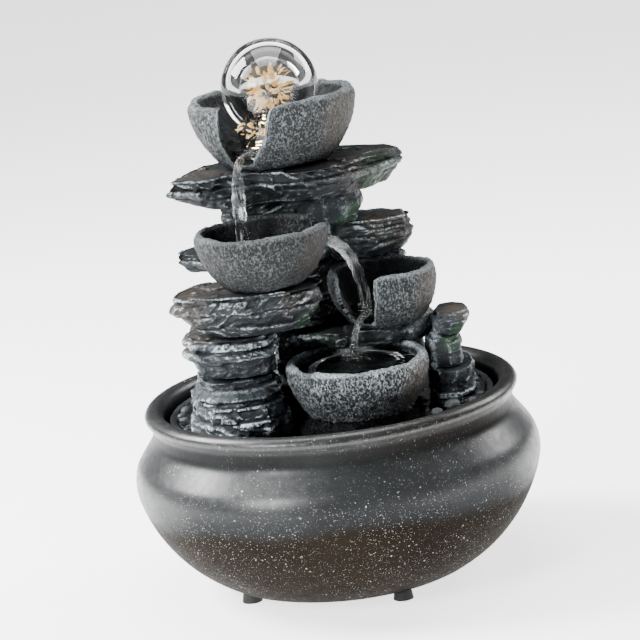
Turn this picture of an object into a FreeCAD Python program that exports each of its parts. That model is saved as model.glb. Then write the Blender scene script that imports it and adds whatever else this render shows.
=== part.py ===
"""Tabletop water fountain: a speckled pot, a lift-out tower of slate ledges with four spill bowls,
a glass ball turning on a water jet, and the pump, hose and light that drive it.

Millimetres. +Z is up, the origin is at the centre of the ground plane, and the bowls face -Y.
Every size is a cell of the sheet "dims", and every sub-part is bound to those cells.
"""

import FreeCAD
import Part
import Sketcher
import math
import os

doc = FreeCAD.newDocument("tabletop_fountain")
sheet = doc.addObject("Spreadsheet::Sheet", "dims")
UP = FreeCAD.Vector(0, 0, 1)
ALONG_Y = FreeCAD.Rotation(FreeCAD.Vector(1, 0, 0), 90)
nodes = []


class Size:
    """A length with its value and the sheet expression that it comes from."""

    def __init__(self, value, text=None):
        self.value = float(value)
        self.text = text

    def expression(self):
        return self.text if self.text else repr(self.value)

    def combine(self, other, sign, value):
        other = size(other)
        text = None
        if self.text or other.text:
            text = f"({self.expression()} {sign} {other.expression()})"
        return Size(value(self.value, other.value), text)

    def __add__(self, other):
        return self.combine(other, "+", lambda a, b: a + b)

    def __sub__(self, other):
        return self.combine(other, "-", lambda a, b: a - b)

    def __mul__(self, other):
        return self.combine(other, "*", lambda a, b: a * b)

    def __truediv__(self, other):
        return self.combine(other, "/", lambda a, b: a / b)

    def __neg__(self):
        return self * -1

    __rmul__ = __mul__

    def __radd__(self, other):
        return size(other) + self

    def __rsub__(self, other):
        return size(other) - self


def size(value):
    return value if isinstance(value, Size) else Size(value)


# ---------------------------------------------------------------- driving dimensions
DIMS = {
    # pot
    "pot_base_z": 3.0, "pot_base_rad": 58.0, "pot_corner_rad": 69.0, "pot_corner_z": 7.0,
    "belly_rad": 105.3, "belly_z": 60.0, "shoulder_rad": 102.5, "shoulder_z": 71.0,
    "neck_rad": 92.8, "neck_z": 86.5, "lip_rad": 97.0, "lip_z": 94.5, "rim_z": 99.5,
    "rim_mid_rad": 91.5, "mouth_rad": 86.3, "wall": 5.0, "pot_floor_z": 8.0,
    # feet and cable grommet
    "foot_rad": 5.2, "foot_ring_rad": 61.0, "foot_height": 3.0, "grommet_bore_rad": 3.0,
    "grommet_rad": 5.0, "grommet_flange_rad": 7.0, "grommet_flange": 1.6, "grommet_start_y": 84.6,
    "grommet_long": 13.5, "grommet_z": 86.5,
    # tower base
    "plate_rad": 84.0, "plate_z": 86.0, "deck_z": 91.0, "leg_rad": 6.0, "leg_ring_rad": 54.0,
    "plate_lip": 2.0, "drain_rad": 1.8, "drain_inset": 7.0,
    # riser: the hose, its channel through the rocks, and the lead beside it
    "riser_x": -13.0, "riser_y": 22.0, "channel_rad": 8.2, "hose_rad": 5.0, "hose_bore_rad": 3.6,
    "hose_low_z": 56.0, "hose_top_z": 226.5, "lead_rad": 1.2, "lead_offset": 6.6,
    # ball, its seat and the light ring
    "ball_rad": 25.0, "ball_z": 254.5, "seat_in_rad": 15.6, "seat_out_rad": 18.6, "seat_top_z": 234.5,
    "seat_gap_wide": 7.0, "seat_gap_high": 5.0,
    "light_rad": 15.0, "light_bore_rad": 5.2, "light_height": 5.0, "lens_height": 1.2,
    "led_rad": 1.6, "led_ring_rad": 10.0, "led_height": 1.6, "led_room": 0.2,
    # plug and socket of the light's lead
    "plug_long": 6.0, "plug_wide": 5.0, "plug_high": 8.0, "socket_long": 8.0, "socket_wide": 7.0,
    "socket_high": 4.0, "socket_offset": 11.3,
    # pump housing
    "pump_x": -13.0, "pump_front_y": -16.0, "pump_back_y": 32.0, "pump_wide": 36.0,
    "pump_low_z": 12.0, "pump_top_z": 50.0, "pump_corner": 5.0, "cup_rad": 6.0, "cup_top_rad": 2.5,
    "chamber_rad": 11.7, "chamber_long": 8.0, "rotor_bore_rad": 7.3, "rotor_bore_long": 23.0,
    "shaft_seat_long": 5.0, "outlet_way_rad": 3.0, "outlet_way_in": 4.5, "outlet_way_up": 14.0,
    "stator_room_long": 26.0, "stator_room_wide": 10.0, "stator_room_high": 8.0,
    "stator_room_in": 15.0, "stator_room_up": 3.0, "core_long": 25.0, "core_wide": 9.0,
    "core_high": 3.5, "coil_long": 16.0, "nozzle_rad": 3.5, "nozzle_bore_rad": 2.4,
    "nozzle_long": 16.0, "collar_rad": 7.0, "collar_high": 3.0,
    # pump cover and flow dial
    "cover_thick": 7.0, "eye_rad": 3.2, "inlet_rad": 9.0, "inlet_skin": 2.5, "slot_wide": 2.4,
    "slot_deep": 3.0, "slot_high": 10.0, "slot_step": 6.0, "slot_down": 12.0, "dial_rad": 4.5,
    "dial_x": -1.0, "dial_z": 19.0, "dial_thick": 2.0, "stem_rad": 1.5, "key_wide": 1.6,
    "key_deep": 2.5, "key_high": 7.0,
    # impeller and shaft
    "rotor_z": 27.0, "rotor_rad": 6.5, "rotor_long": 22.0, "rotor_start_y": -7.5, "shaft_rad": 1.0,
    "shaft_long": 33.0, "vane_rad": 10.5, "vane_long": 6.0, "vane_thick": 1.4, "hub_rad": 3.0,
    "disc_thick": 1.5, "bush_wall": 1.5, "bush_long": 3.5,
    # clearances: a running fit on the radius, and the least gap between pieces that move apart
    "run_fit": 0.06, "bush_fit": 0.02, "gap": 0.3,
}

# Bowls: centre, underside, rim height, radii, and the spout's direction, floor, widths and how far
# its top leans to one side.
BOWLS = {
    "top_bowl": dict(x=-13.0, y=22.0, z=216.0, rim_z=252.0, rim_rad=43.5, base_rad=28.0, wall=7.0,
                     floor=4.0, spout_turn=-27.0, spout_z=220.0, spout_low=11.0, spout_top=27.0,
                     spout_lean=5.0),
    "upper_left_bowl": dict(x=-25.5, y=-26.0, z=162.0, rim_z=192.5, rim_rad=34.5, base_rad=19.0,
                            wall=6.0, floor=5.0, spout_turn=108.0, spout_z=176.0, spout_low=9.0,
                            spout_top=22.0, spout_lean=0.0),
    "right_bowl": dict(x=33.0, y=5.0, z=129.0, rim_z=159.0, rim_rad=28.5, base_rad=17.0, wall=5.5,
                       floor=4.0, spout_turn=-35.0, spout_z=133.0, spout_low=9.0, spout_top=21.0,
                       spout_lean=0.0),
    "lower_bowl": dict(x=15.0, y=-22.0, z=91.0, rim_z=120.0, rim_rad=37.0, base_rad=26.0, wall=6.0,
                       floor=5.0, spout_turn=0.0, spout_z=0.0, spout_low=0.0, spout_top=0.0,
                       spout_lean=0.0),
}

# Slate ledges: centre, underside, top, half length in X, half width in Y, the shares of the
# underside's and the top's outline, the underside's shift in X, whether the riser channel passes
# through, and the outline in half lengths and half widths.
ROCKS = {
    "rock_left_base": dict(
        x=-46.5, y=-12.0, z=91.0, top=118.0, long=25.0, wide=37.0, low=1.0, high=0.84, lean=0.0, riser=0,
        outline=[(-0.94, -0.45), (-0.6, -0.86), (-0.05, -1.0), (0.6, -0.92), (0.95, -0.6), (1.0, -0.1),
                 (0.76, 0.4), (0.7, 0.9), (0.2, 1.0), (-0.5, 0.92), (-0.9, 0.5), (-1.0, 0.05)]),
    "rock_left_step": dict(
        x=-47.5, y=-12.0, z=118.0, top=140.0, long=24.0, wide=34.0, low=0.8, high=0.95, lean=2.0, riser=0,
        outline=[(-1.0, -0.3), (-0.8, -0.72), (-0.3, -0.95), (0.3, -1.0), (0.8, -0.85), (1.0, -0.4),
                 (0.95, 0.1), (0.75, 0.5), (0.7, 0.85), (0.0, 1.0), (-0.6, 0.8), (-0.92, 0.3)]),
    "rock_left_ledge": dict(
        x=-36.0, y=-23.0, z=140.0, top=162.0, long=40.0, wide=27.0, low=0.68, high=0.97, lean=2.0, riser=0,
        outline=[(-1.0, -0.1), (-0.86, -0.5), (-0.5, -0.85), (0.0, -1.0), (0.5, -0.92), (0.9, -0.65),
                 (1.0, -0.2), (0.8, 0.3), (0.55, 0.9), (-0.1, 1.0), (-0.6, 0.85), (-0.9, 0.4)]),
    "rock_core_lower": dict(
        x=11.5, y=36.0, z=91.0, top=121.0, long=38.5, wide=26.0, low=1.0, high=0.97, lean=0.0, riser=1,
        outline=[(-1.0, -0.95), (-0.56, -0.98), (-0.18, -0.72), (0.35, -0.72), (0.75, -0.9), (1.0, -0.6),
                 (1.0, 0.15), (0.8, 0.7), (0.3, 1.0), (-0.3, 0.95), (-0.8, 0.75), (-1.0, 0.2)]),
    "rock_mid_shelf": dict(
        x=15.0, y=20.0, z=121.0, top=129.0, long=42.0, wide=32.0, low=0.94, high=0.97, lean=0.0, riser=1,
        outline=[(-1.0, -0.4), (-0.6, -0.62), (-0.2, -0.95), (0.3, -1.0), (0.75, -0.85), (1.0, -0.4),
                 (1.0, 0.2), (0.85, 0.65), (0.4, 0.95), (-0.2, 1.0), (-0.7, 0.85), (-0.98, 0.3)]),
    "rock_core_middle": dict(
        x=12.0, y=32.0, z=129.0, top=162.0, long=39.0, wide=22.0, low=1.0, high=0.94, lean=0.0, riser=1,
        outline=[(-1.0, -0.9), (-0.55, -1.0), (-0.27, -0.85), (-0.25, 0.0), (-0.05, 0.2), (0.5, 0.25),
                 (0.92, 0.1), (1.0, 0.5), (0.6, 0.95), (0.0, 1.0), (-0.6, 0.9), (-0.97, 0.3)]),
    "rock_right_base": dict(
        x=63.5, y=0.0, z=91.0, top=106.0, long=13.0, wide=26.0, low=1.0, high=0.9, lean=0.0, riser=0,
        outline=[(-0.7, -0.95), (0.1, -1.0), (0.75, -0.7), (1.0, -0.1), (0.9, 0.5), (0.5, 0.95),
                 (-0.4, 1.0), (-0.98, 0.6), (-0.93, 0.0), (-0.78, -0.5)]),
    "rock_right_neck": dict(
        x=62.0, y=2.0, z=106.0, top=121.0, long=9.0, wide=18.0, low=1.0, high=0.9, lean=0.0, riser=0,
        outline=[(-0.8, -0.8), (0.1, -1.0), (0.8, -0.7), (1.0, 0.1), (0.8, 0.8), (0.0, 1.0),
                 (-0.8, 0.8), (-1.0, 0.0)]),
    "rock_right_step": dict(
        x=66.5, y=3.0, z=121.0, top=133.0, long=9.5, wide=16.0, low=0.75, high=0.93, lean=-2.0, riser=0,
        outline=[(-0.9, -0.8), (-0.1, -1.0), (0.7, -0.75), (1.0, -0.1), (0.85, 0.6), (0.2, 1.0),
                 (-0.7, 0.9), (-1.0, 0.0)]),
    "rock_back_shelf": dict(
        x=-32.0, y=31.0, z=162.0, top=174.0, long=41.0, wide=22.0, low=0.86, high=0.96, lean=2.0, riser=1,
        outline=[(-1.0, -0.5), (-0.7, -0.85), (-0.1, -0.92), (0.45, -0.98), (0.9, -0.9), (1.0, -0.3),
                 (0.96, 0.4), (0.6, 0.95), (0.0, 1.0), (-0.55, 0.8), (-0.9, 0.2)]),
    "rock_right_shelf": dict(
        x=32.0, y=32.0, z=162.0, top=181.0, long=22.5, wide=22.0, low=0.78, high=0.9, lean=-4.0, riser=0,
        outline=[(-0.98, -0.7), (-0.4, -1.0), (0.3, -0.95), (0.85, -0.7), (1.0, -0.2), (0.8, 0.4),
                 (0.4, 0.9), (-0.3, 1.0), (-0.95, 0.7)]),
    "rock_upper_neck": dict(
        x=-19.5, y=31.0, z=174.0, top=199.0, long=28.0, wide=21.0, low=0.97, high=0.97, lean=0.0, riser=1,
        outline=[(-1.0, -0.6), (-0.5, -0.96), (0.3, -1.0), (0.98, -0.9), (1.0, 0.7), (0.4, 1.0),
                 (-0.4, 0.95), (-0.9, 0.5)]),
    "rock_upper_right": dict(
        x=19.0, y=26.0, z=181.0, top=199.0, long=10.0, wide=21.0, low=0.75, high=0.97, lean=-1.0, riser=0,
        outline=[(-0.98, -0.8), (-0.1, -1.0), (0.7, -0.7), (1.0, 0.0), (0.8, 0.7), (0.0, 1.0),
                 (-0.98, 0.8)]),
    "rock_top_ledge": dict(
        x=-10.0, y=18.0, z=199.0, top=216.0, long=62.0, wide=38.0, low=0.74, high=0.96, lean=6.5, riser=1,
        outline=[(-1.0, -0.72), (-0.74, -0.9), (-0.58, -0.86), (-0.52, -0.7), (-0.24, -0.68),
                 (-0.14, -0.86), (0.15, -0.95), (0.5, -0.75), (0.8, -0.3), (1.0, 0.15), (0.9, 0.5),
                 (0.55, 0.8), (0.1, 1.0), (-0.35, 0.92), (-0.7, 0.6), (-0.88, 0.0)]),
}

# Turns about Z, in degrees, of the tower's legs, the feet, the drain holes and the seat's gaps.
LEG_TURNS = (45, 135, 225, 315)
FOOT_TURNS = (24, 122, 204, 302)
DRAIN_TURNS = (-160, -130, -100, -70, -40)
SEAT_GAP_TURNS = (26.0, 116.0)
LED_COUNT = 6
VANE_COUNT = 4
SLOT_COUNT = 5
# The suction cups' places in Y, and how far they are from the pump's axis in X.
CUP_OFFSETS = ((-11, -9), (11, -9), (-11, 24), (11, 24))
# How far a pebble's flat underside is below its middle, as a turn down its curve, and its height.
PEBBLE_FLAT = 20
PEBBLE_HEIGHT = 0.72
PEBBLE_DEPTH = 0.86
# Pebbles: name, then each one's centre in X and Y, its half width and its turn about Z.
PEBBLES = {
    "pebbles_left": [(-76.0, -6.0, 3.2), (-77.5, 3.0, 3.2), (-75.5, 12.5, 4.0), (-69.5, 27.5, 5.0),
                     (-63.0, 37.0, 4.2), (-74.6, -24.5, 2.4)],
    "pebbles_right": [(76.0, -19.0, 2.4), (60.5, -37.0, 4.8), (70.5, -31.5, 3.4), (52.0, -47.5, 3.8)],
    "pebbles_rear": [(-52.0, 49.0, 5.2), (-41.0, 60.5, 4.6), (-44.5, 39.5, 4.0), (-33.5, 47.0, 5.5),
                     (-24.0, 66.0, 5.0), (56.0, 50.0, 4.8), (46.5, 60.0, 4.0), (-32.0, 69.5, 3.4)],
}


def dim(alias):
    return Size(DIMS[alias], f"dims.{alias}")


def bind(thing, prop, amount):
    """Ties a property to the sheet, or sets it where the size is a plain number."""
    amount = size(amount)
    if amount.text:
        thing.setExpression(prop, amount.text)
    elif prop.startswith(".Placement.Base."):
        place = thing.Placement
        setattr(place.Base, prop[-1], amount.value)
        thing.Placement = place
    else:
        setattr(thing, prop, amount.value)


def put(thing, x=0, y=0, z=0, turn=None):
    """Places an object, with its turn set first."""
    thing.Placement = FreeCAD.Placement(FreeCAD.Vector(0, 0, 0), turn or FreeCAD.Rotation())
    for axis, amount in zip("xyz", (x, y, z)):
        bind(thing, f".Placement.Base.{axis}", amount)
    return thing


def node(thing, label):
    """Names an object as one of the assembly's sub-parts."""
    thing.Label = label
    if thing.Label != label:
        raise RuntimeError(f"the name {label} is taken")
    nodes.append(thing)
    return thing


def add_cell(line, alias, number):
    """Writes one line of the sheet: the size's name, and its value under that alias."""
    sheet.set(f"A{line}", alias)
    sheet.set(f"B{line}", repr(number))
    sheet.setAlias(f"B{line}", alias)


def row_dims(prefix, row):
    """Adds one row of sizes to the sheet and returns them as Sizes."""
    made = {}
    for key, number in row.items():
        if isinstance(number, float):
            alias = f"{prefix}_{key}"
            DIMS[alias] = number
            add_cell(len(DIMS), alias, number)
            made[key] = dim(alias)
    return made


# ---------------------------------------------------------------- sketches and features
def sketch(body, role, lift=None):
    """A sketch on one of its body's origin planes, lifted along the plane's normal."""
    made = body.newObject("Sketcher::SketchObject", f"{body.Name}_sketch")
    plane = next(f for f in body.Origin.OriginFeatures if f.Role == role)
    made.AttachmentSupport = [(plane, "")]
    made.MapMode = "FlatFace"
    if lift is not None:
        made.setExpression(".AttachmentOffset.Base.z", size(lift).expression())
    return made


def arc_between(start, end, radius):
    """The shorter arc between two points, drawn anticlockwise. Its centre is to the left of the way
    from start to end where the radius is positive, and to the right where it is negative."""
    chord = end - start
    half = chord.Length / 2
    reach = math.sqrt(max(radius * radius - half * half, 0.0))
    side = FreeCAD.Vector(-chord.y, chord.x, 0).normalize() * (1 if radius > 0 else -1)
    centre = (start + end) / 2 + side * reach
    first, last = (start, end) if radius > 0 else (end, start)
    angles = [math.atan2(p.y - centre.y, p.x - centre.x) for p in (first, last)]
    if angles[1] < angles[0]:
        angles[1] += 2 * math.pi
    return Part.ArcOfCircle(Part.Circle(centre, UP, abs(radius)), angles[0], angles[1])


def outline(made, corners):
    """Draws a closed outline. A corner is (x, y), or (x, y, radius) where an arc leads on from it.
    Each corner's place and each radius is bound to the sheet."""
    count = len(corners)
    points = [FreeCAD.Vector(size(c[0]).value, size(c[1]).value, 0) for c in corners]
    starts = []
    for i, corner in enumerate(corners):
        start, end = points[i], points[(i + 1) % count]
        if len(corner) > 2:
            radius = size(corner[2]).value
            made.addGeometry(arc_between(start, end, radius))
            starts.append(1 if radius > 0 else 2)
        else:
            made.addGeometry(Part.LineSegment(start, end))
            starts.append(1)
    for i in range(count):
        after = (i + 1) % count
        made.addConstraint(Sketcher.Constraint("Coincident", i, 3 - starts[i], after, starts[after]))
    for i, corner in enumerate(corners):
        for kind, amount in (("DistanceX", size(corner[0])), ("DistanceY", size(corner[1]))):
            at = made.addConstraint(Sketcher.Constraint(kind, -1, 1, i, starts[i], amount.value))
            if amount.text:
                made.setExpression(f"Constraints[{at}]", amount.text)
        if len(corner) > 2:
            radius = size(corner[2])
            at = made.addConstraint(Sketcher.Constraint("Radius", i, abs(radius.value)))
            if radius.text:
                made.setExpression(f"Constraints[{at}]", f"abs({radius.text})")
    return made


def circle(made, x, y, radius):
    """Draws a circle whose place and radius are bound to the sheet."""
    x, y, radius = size(x), size(y), size(radius)
    at = made.addGeometry(Part.Circle(FreeCAD.Vector(x.value, y.value, 0), UP, radius.value))
    for kind, amount in (("DistanceX", x), ("DistanceY", y)):
        number = made.addConstraint(Sketcher.Constraint(kind, -1, 1, at, 3, amount.value))
        if amount.text:
            made.setExpression(f"Constraints[{number}]", amount.text)
    number = made.addConstraint(Sketcher.Constraint("Radius", at, radius.value))
    if radius.text:
        made.setExpression(f"Constraints[{number}]", radius.text)
    return made


def revolved(name, corners):
    """A body turned about its own Z axis from an outline in its XZ plane."""
    body = doc.addObject("PartDesign::Body", name)
    profile = outline(sketch(body, "XZ_Plane"), corners)
    turn = body.newObject("PartDesign::Revolution", f"{name}_turn")
    turn.Profile = profile
    turn.ReferenceAxis = (profile, ["V_Axis"])
    turn.Angle = 360
    return body


def padded(name, corners, height, role="XY_Plane", lift=None):
    """A body padded from an outline."""
    body = doc.addObject("PartDesign::Body", name)
    pad = body.newObject("PartDesign::Pad", f"{name}_pad")
    pad.Profile = outline(sketch(body, role, lift), corners)
    bind(pad, "Length", height)
    return body


def pocket_circles(body, circles, role="XY_Plane"):
    """Cuts round holes right through a body, both ways from an origin plane."""
    profile = sketch(body, role)
    for x, y, radius in circles:
        circle(profile, x, y, radius)
    cut = body.newObject("PartDesign::Pocket", f"{body.Name}_holes")
    cut.Profile = profile
    cut.Type = "ThroughAll"
    cut.SideType = "Symmetric"
    return cut


# ---------------------------------------------------------------- primitives and booleans
def cylinder(name, radius, height, x=0, y=0, z=0, turn=None):
    made = doc.addObject("Part::Cylinder", name)
    bind(made, "Radius", radius)
    bind(made, "Height", height)
    return put(made, x, y, z, turn)


def cone(name, low, high, height, x=0, y=0, z=0, turn=None):
    made = doc.addObject("Part::Cone", name)
    bind(made, "Radius1", low)
    bind(made, "Radius2", high)
    bind(made, "Height", height)
    return put(made, x, y, z, turn)


def block(name, long, wide, high, x=0, y=0, z=0):
    """A box whose lowest corner is at x, y, z."""
    made = doc.addObject("Part::Box", name)
    bind(made, "Length", long)
    bind(made, "Width", wide)
    bind(made, "Height", high)
    return put(made, x, y, z)


def cut(name, base, tool):
    made = doc.addObject("Part::Cut", name)
    made.Base = base
    made.Tool = tool
    return made


def fuse(name, shapes):
    made = doc.addObject("Part::MultiFuse", name)
    made.Shapes = shapes
    return made


def group(name, shapes):
    """Several separate solids that share one node."""
    made = doc.addObject("Part::Compound", name)
    made.Links = shapes
    return made


def tube(name, outer, inner, height, x=0, y=0, z=0, turn=None):
    return cut(name, cylinder(f"{name}_outside", outer, height, x, y, z, turn),
               cylinder(f"{name}_inside", inner, height, x, y, z, turn))


# ---------------------------------------------------------------- pot
def make_pot():
    """The round-bellied pot with its rolled rim, and the lead's hole through its back wall."""
    wall, rim_z, mouth = dim("wall"), dim("rim_z"), dim("mouth_rad")
    belly, shoulder = dim("belly_rad"), dim("shoulder_rad")
    body = revolved("basin_pot", [
        (0, dim("pot_base_z")),
        (dim("pot_base_rad"), dim("pot_base_z"), 22),
        (dim("pot_corner_rad"), dim("pot_corner_z"), 78),
        (belly - 0.5, dim("belly_z") - 4.5, 24),
        (shoulder, dim("shoulder_z")),
        (dim("neck_rad") + 1.8, dim("neck_z") - 4.5, -9),
        (dim("neck_rad") + 1.2, dim("neck_z") + 4, -9),
        (dim("lip_rad"), dim("lip_z"), 5.5),
        (dim("rim_mid_rad"), rim_z, 5.5),
        (mouth, dim("lip_z")),
        (dim("neck_rad") - wall, dim("neck_z")),
        (shoulder - wall, dim("shoulder_z") - 1, -24),
        (belly - wall - 0.5, dim("belly_z") - 5, -73),
        (dim("pot_corner_rad") - 4, dim("pot_floor_z") + 2.5),
        (dim("pot_base_rad") + 2, dim("pot_floor_z")),
        (0, dim("pot_floor_z")),
    ])
    doc.recompute()
    hole = sketch(body, "XZ_Plane")
    circle(hole, 0, dim("grommet_z"), dim("grommet_rad") + 0.05)
    pocket = body.newObject("PartDesign::Pocket", "basin_pot_cable_hole")
    pocket.Profile = hole
    bind(pocket, "Length", belly)
    node(body, "basin_pot")


def make_feet():
    """Four rubber feet, each trimmed to the pot's underside."""
    for name, turn in zip(("front_right", "back_right", "back_left", "front_left"), FOOT_TURNS):
        way = math.radians(turn - 90)
        foot = cone(f"foot_{name}_blank", dim("foot_rad"), dim("foot_rad") - 1, dim("foot_height") + 3,
                    dim("foot_ring_rad") * math.cos(way), dim("foot_ring_rad") * math.sin(way), 0)
        trimmed = cut(f"foot_{name}_seated", foot, pot_solid(f"foot_{name}_seat"))
        node(trimmed, f"foot_{name}")


def pot_solid(name):
    """The pot's outside near the ground as a solid, which trims each foot to the pot's curve."""
    base_z = dim("pot_base_z")
    return revolved(name, [
        (0, base_z),
        (dim("pot_base_rad"), base_z, 22),
        (dim("pot_corner_rad"), dim("pot_corner_z"), 78),
        (dim("belly_rad") - 0.5, dim("belly_z") - 4.5),
        (0, dim("belly_z") - 4.5),
    ])


def make_grommet():
    """A rubber grommet in the pot's back wall, for the pump's lead."""
    inner, outer, flange = dim("grommet_bore_rad"), dim("grommet_rad"), dim("grommet_flange_rad")
    thick = dim("grommet_flange")
    length = dim("grommet_long")
    body = revolved("cable_grommet", [
        (inner, 0), (flange, 0), (flange, thick), (outer, thick), (outer, length - thick),
        (flange, length - thick), (flange, length), (inner, length)])
    put(body, 0, dim("grommet_start_y"), dim("grommet_z"), FreeCAD.Rotation(FreeCAD.Vector(1, 0, 0), -90))
    node(body, "cable_grommet")


# ---------------------------------------------------------------- tower: base, ledges, bowls
def make_base_plate():
    """The round plate that carries the tower, with its raised lip, riser hole and drain holes."""
    rad, low, deck, lip = dim("plate_rad"), dim("plate_z"), dim("deck_z"), dim("plate_lip")
    body = revolved("base_plate", [
        (0, low), (rad - 1, low), (rad, low + 1), (rad, deck + lip), (rad - 2, deck + lip),
        (rad - 3, deck), (0, deck)])
    doc.recompute()
    holes = [(dim("riser_x"), dim("riser_y"), dim("channel_rad"))]
    ring = rad - dim("drain_inset")
    for turn in DRAIN_TURNS:
        way = math.radians(turn)
        holes.append((ring * math.cos(way), ring * math.sin(way), dim("drain_rad")))
    pocket_circles(body, holes)
    node(body, "base_plate")


def make_legs():
    """Four tapered legs that stand the plate on the pot's floor."""
    for name, turn in zip(("back_right", "back_left", "front_left", "front_right"), LEG_TURNS):
        way = math.radians(turn)
        leg = cone(f"tower_leg_{name}", dim("leg_rad") - 1, dim("leg_rad"),
                   dim("plate_z") - dim("pot_floor_z"), dim("leg_ring_rad") * math.cos(way),
                   dim("leg_ring_rad") * math.sin(way), dim("pot_floor_z"))
        node(leg, f"tower_leg_{name}")


def make_rock(name, row):
    """A slate ledge: a ruled loft from its underside, through its widest level, to its top."""
    sizes = row_dims(name, row)
    body = doc.addObject("PartDesign::Body", name)
    height = sizes["top"] - sizes["z"]
    sections = []
    widest = 0.6 if row["high"] > row["low"] else 0.3
    for share, rise, lean in ((sizes["low"], None, sizes["lean"]), (1, height * widest, 0),
                              (sizes["high"], height, 0)):
        corners = [(sizes["long"] * share * u + lean, sizes["wide"] * share * v)
                   for u, v in row["outline"]]
        sections.append(outline(sketch(body, "XY_Plane", rise), corners))
    loft = body.newObject("PartDesign::AdditiveLoft", f"{name}_loft")
    loft.Profile = sections[0]
    loft.Sections = sections[1:]
    loft.Ruled = True
    if row["riser"]:
        doc.recompute()
        pocket_circles(body, [(dim("riser_x") - sizes["x"], dim("riser_y") - sizes["y"],
                               dim("channel_rad"))])
    put(body, sizes["x"], sizes["y"], sizes["z"])
    node(body, name)


def make_bowl(name, row):
    """A half bowl with a rounded rim, and a tapered spout cut through one side."""
    sizes = row_dims(name, row)
    height = sizes["rim_z"] - sizes["z"]
    rim, base, wall, floor = sizes["rim_rad"], sizes["base_rad"], sizes["wall"], sizes["floor"]
    body = revolved(name, [
        (0, 0), (base, 0, rim * 1.05), (rim, height * 0.86), (rim - 0.8, height - 1.5, 2.2),
        (rim - 2.5, height), (rim - wall + 1.5, height, 2.2), (rim - wall, height - 1.5, (-1.0) * rim),
        (base * 0.7, floor), (0, floor)])
    if sizes["spout_top"].value:
        doc.recompute()
        low, high = sizes["spout_low"] / 2, sizes["spout_top"] / 2
        step = sizes["spout_z"] - sizes["z"]
        lean, waist = sizes["spout_lean"], step + (height - step) * 0.42
        throat = outline(sketch(body, "XZ_Plane"), [
            (-low - lean, step), (low - lean, step), (high * 0.9, waist), (high + lean, height + 1),
            (lean - high, height + 1), (high * -0.9, waist)])
        spout = body.newObject("PartDesign::Pocket", f"{name}_spout")
        spout.Profile = throat
        spout.Reversed = True
        bind(spout, "Length", rim + 2)
    if name == "top_bowl":
        doc.recompute()
        pocket_circles(body, [(0, 0, dim("channel_rad"))])
    put(body, sizes["x"], sizes["y"], sizes["z"],
        FreeCAD.Rotation(UP, row["spout_turn"]))
    node(body, name)


def make_pebbles(name, places):
    """A cluster of flat-bottomed pebbles standing on the base plate."""
    stones = []
    for i, (x, y, half) in enumerate(places):
        stone = doc.addObject("Part::Ellipsoid", f"{name}_stone")
        stone.Radius1 = half * PEBBLE_HEIGHT
        stone.Radius2 = half
        stone.Radius3 = half * PEBBLE_DEPTH
        stone.Angle1 = -PEBBLE_FLAT
        sunk = half * PEBBLE_HEIGHT * math.sin(math.radians(PEBBLE_FLAT))
        put(stone, x, y, dim("deck_z") + sunk, FreeCAD.Rotation(UP, 37.0 * i))
        stones.append(stone)
    node(group(name, stones), name)


# ---------------------------------------------------------------- riser, ball and light
def make_riser():
    """The clear hose from the pump's nozzle up to the jet under the ball."""
    x, y = dim("riser_x"), dim("riser_y")
    low, top = dim("hose_low_z"), dim("hose_top_z")
    node(tube("riser_hose", dim("hose_rad"), dim("hose_bore_rad"), top - low, x, y, low), "riser_hose")


def make_light():
    """The light ring round the jet: its housing, its lamps and its clear lens."""
    x, y = dim("riser_x"), dim("riser_y")
    floor = dim("top_bowl_z") + dim("top_bowl_floor")
    rad, bore, high = dim("light_rad"), dim("light_bore_rad"), dim("light_height")
    housing = tube("light_housing_ring", rad, bore, high, x, y, floor)
    pockets, leds = [], []
    step = 360 / LED_COUNT
    for i in range(LED_COUNT):
        way = math.radians(step * (i + 0.5))
        at_x = x + dim("led_ring_rad") * math.cos(way)
        at_y = y + dim("led_ring_rad") * math.sin(way)
        at_z = floor + high - dim("led_height")
        pockets.append(cylinder(f"led_pocket_{i}", dim("led_rad") + dim("led_room"), dim("led_height"),
                                at_x, at_y, at_z))
        leds.append(cylinder(f"led_{i}", dim("led_rad"), dim("led_height"), at_x, at_y, at_z))
    node(cut("light_housing_pocketed", housing, fuse("led_pockets", pockets)), "light_housing")
    node(group("light_leds", leds), "light_leds")
    node(tube("light_lens", rad, bore + 1, dim("lens_height"), x, y, floor + high), "light_lens")


def make_seat():
    """The clear ring that the ball rests in, with four gaps that let the water out."""
    x, y = dim("riser_x"), dim("riser_y")
    floor = dim("top_bowl_z") + dim("top_bowl_floor")
    outer, top = dim("seat_out_rad"), dim("seat_top_z")
    ring = tube("ball_seat_ring", outer, dim("seat_in_rad"), top - floor, x, y, floor)
    gaps = []
    reach, half = outer + 2, dim("seat_gap_wide") / 2
    for i, turn in enumerate(SEAT_GAP_TURNS):
        way = math.radians(turn)
        gap = block(f"ball_seat_gap_{i}", reach * 2, dim("seat_gap_wide"), dim("seat_gap_high"))
        put(gap, x - reach * math.cos(way) + half * math.sin(way),
            y - reach * math.sin(way) - half * math.cos(way), floor, FreeCAD.Rotation(UP, turn))
        gaps.append(gap)
    node(cut("ball_seat_cut", ring, fuse("ball_seat_gaps", gaps)), "ball_seat")


def make_ball():
    """The glass ball, resting on the seat's inner edge."""
    ball = doc.addObject("Part::Sphere", "glass_ball")
    bind(ball, "Radius", dim("ball_rad"))
    put(ball, dim("riser_x"), dim("riser_y"), dim("ball_z"))
    node(ball, "glass_ball")


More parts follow.
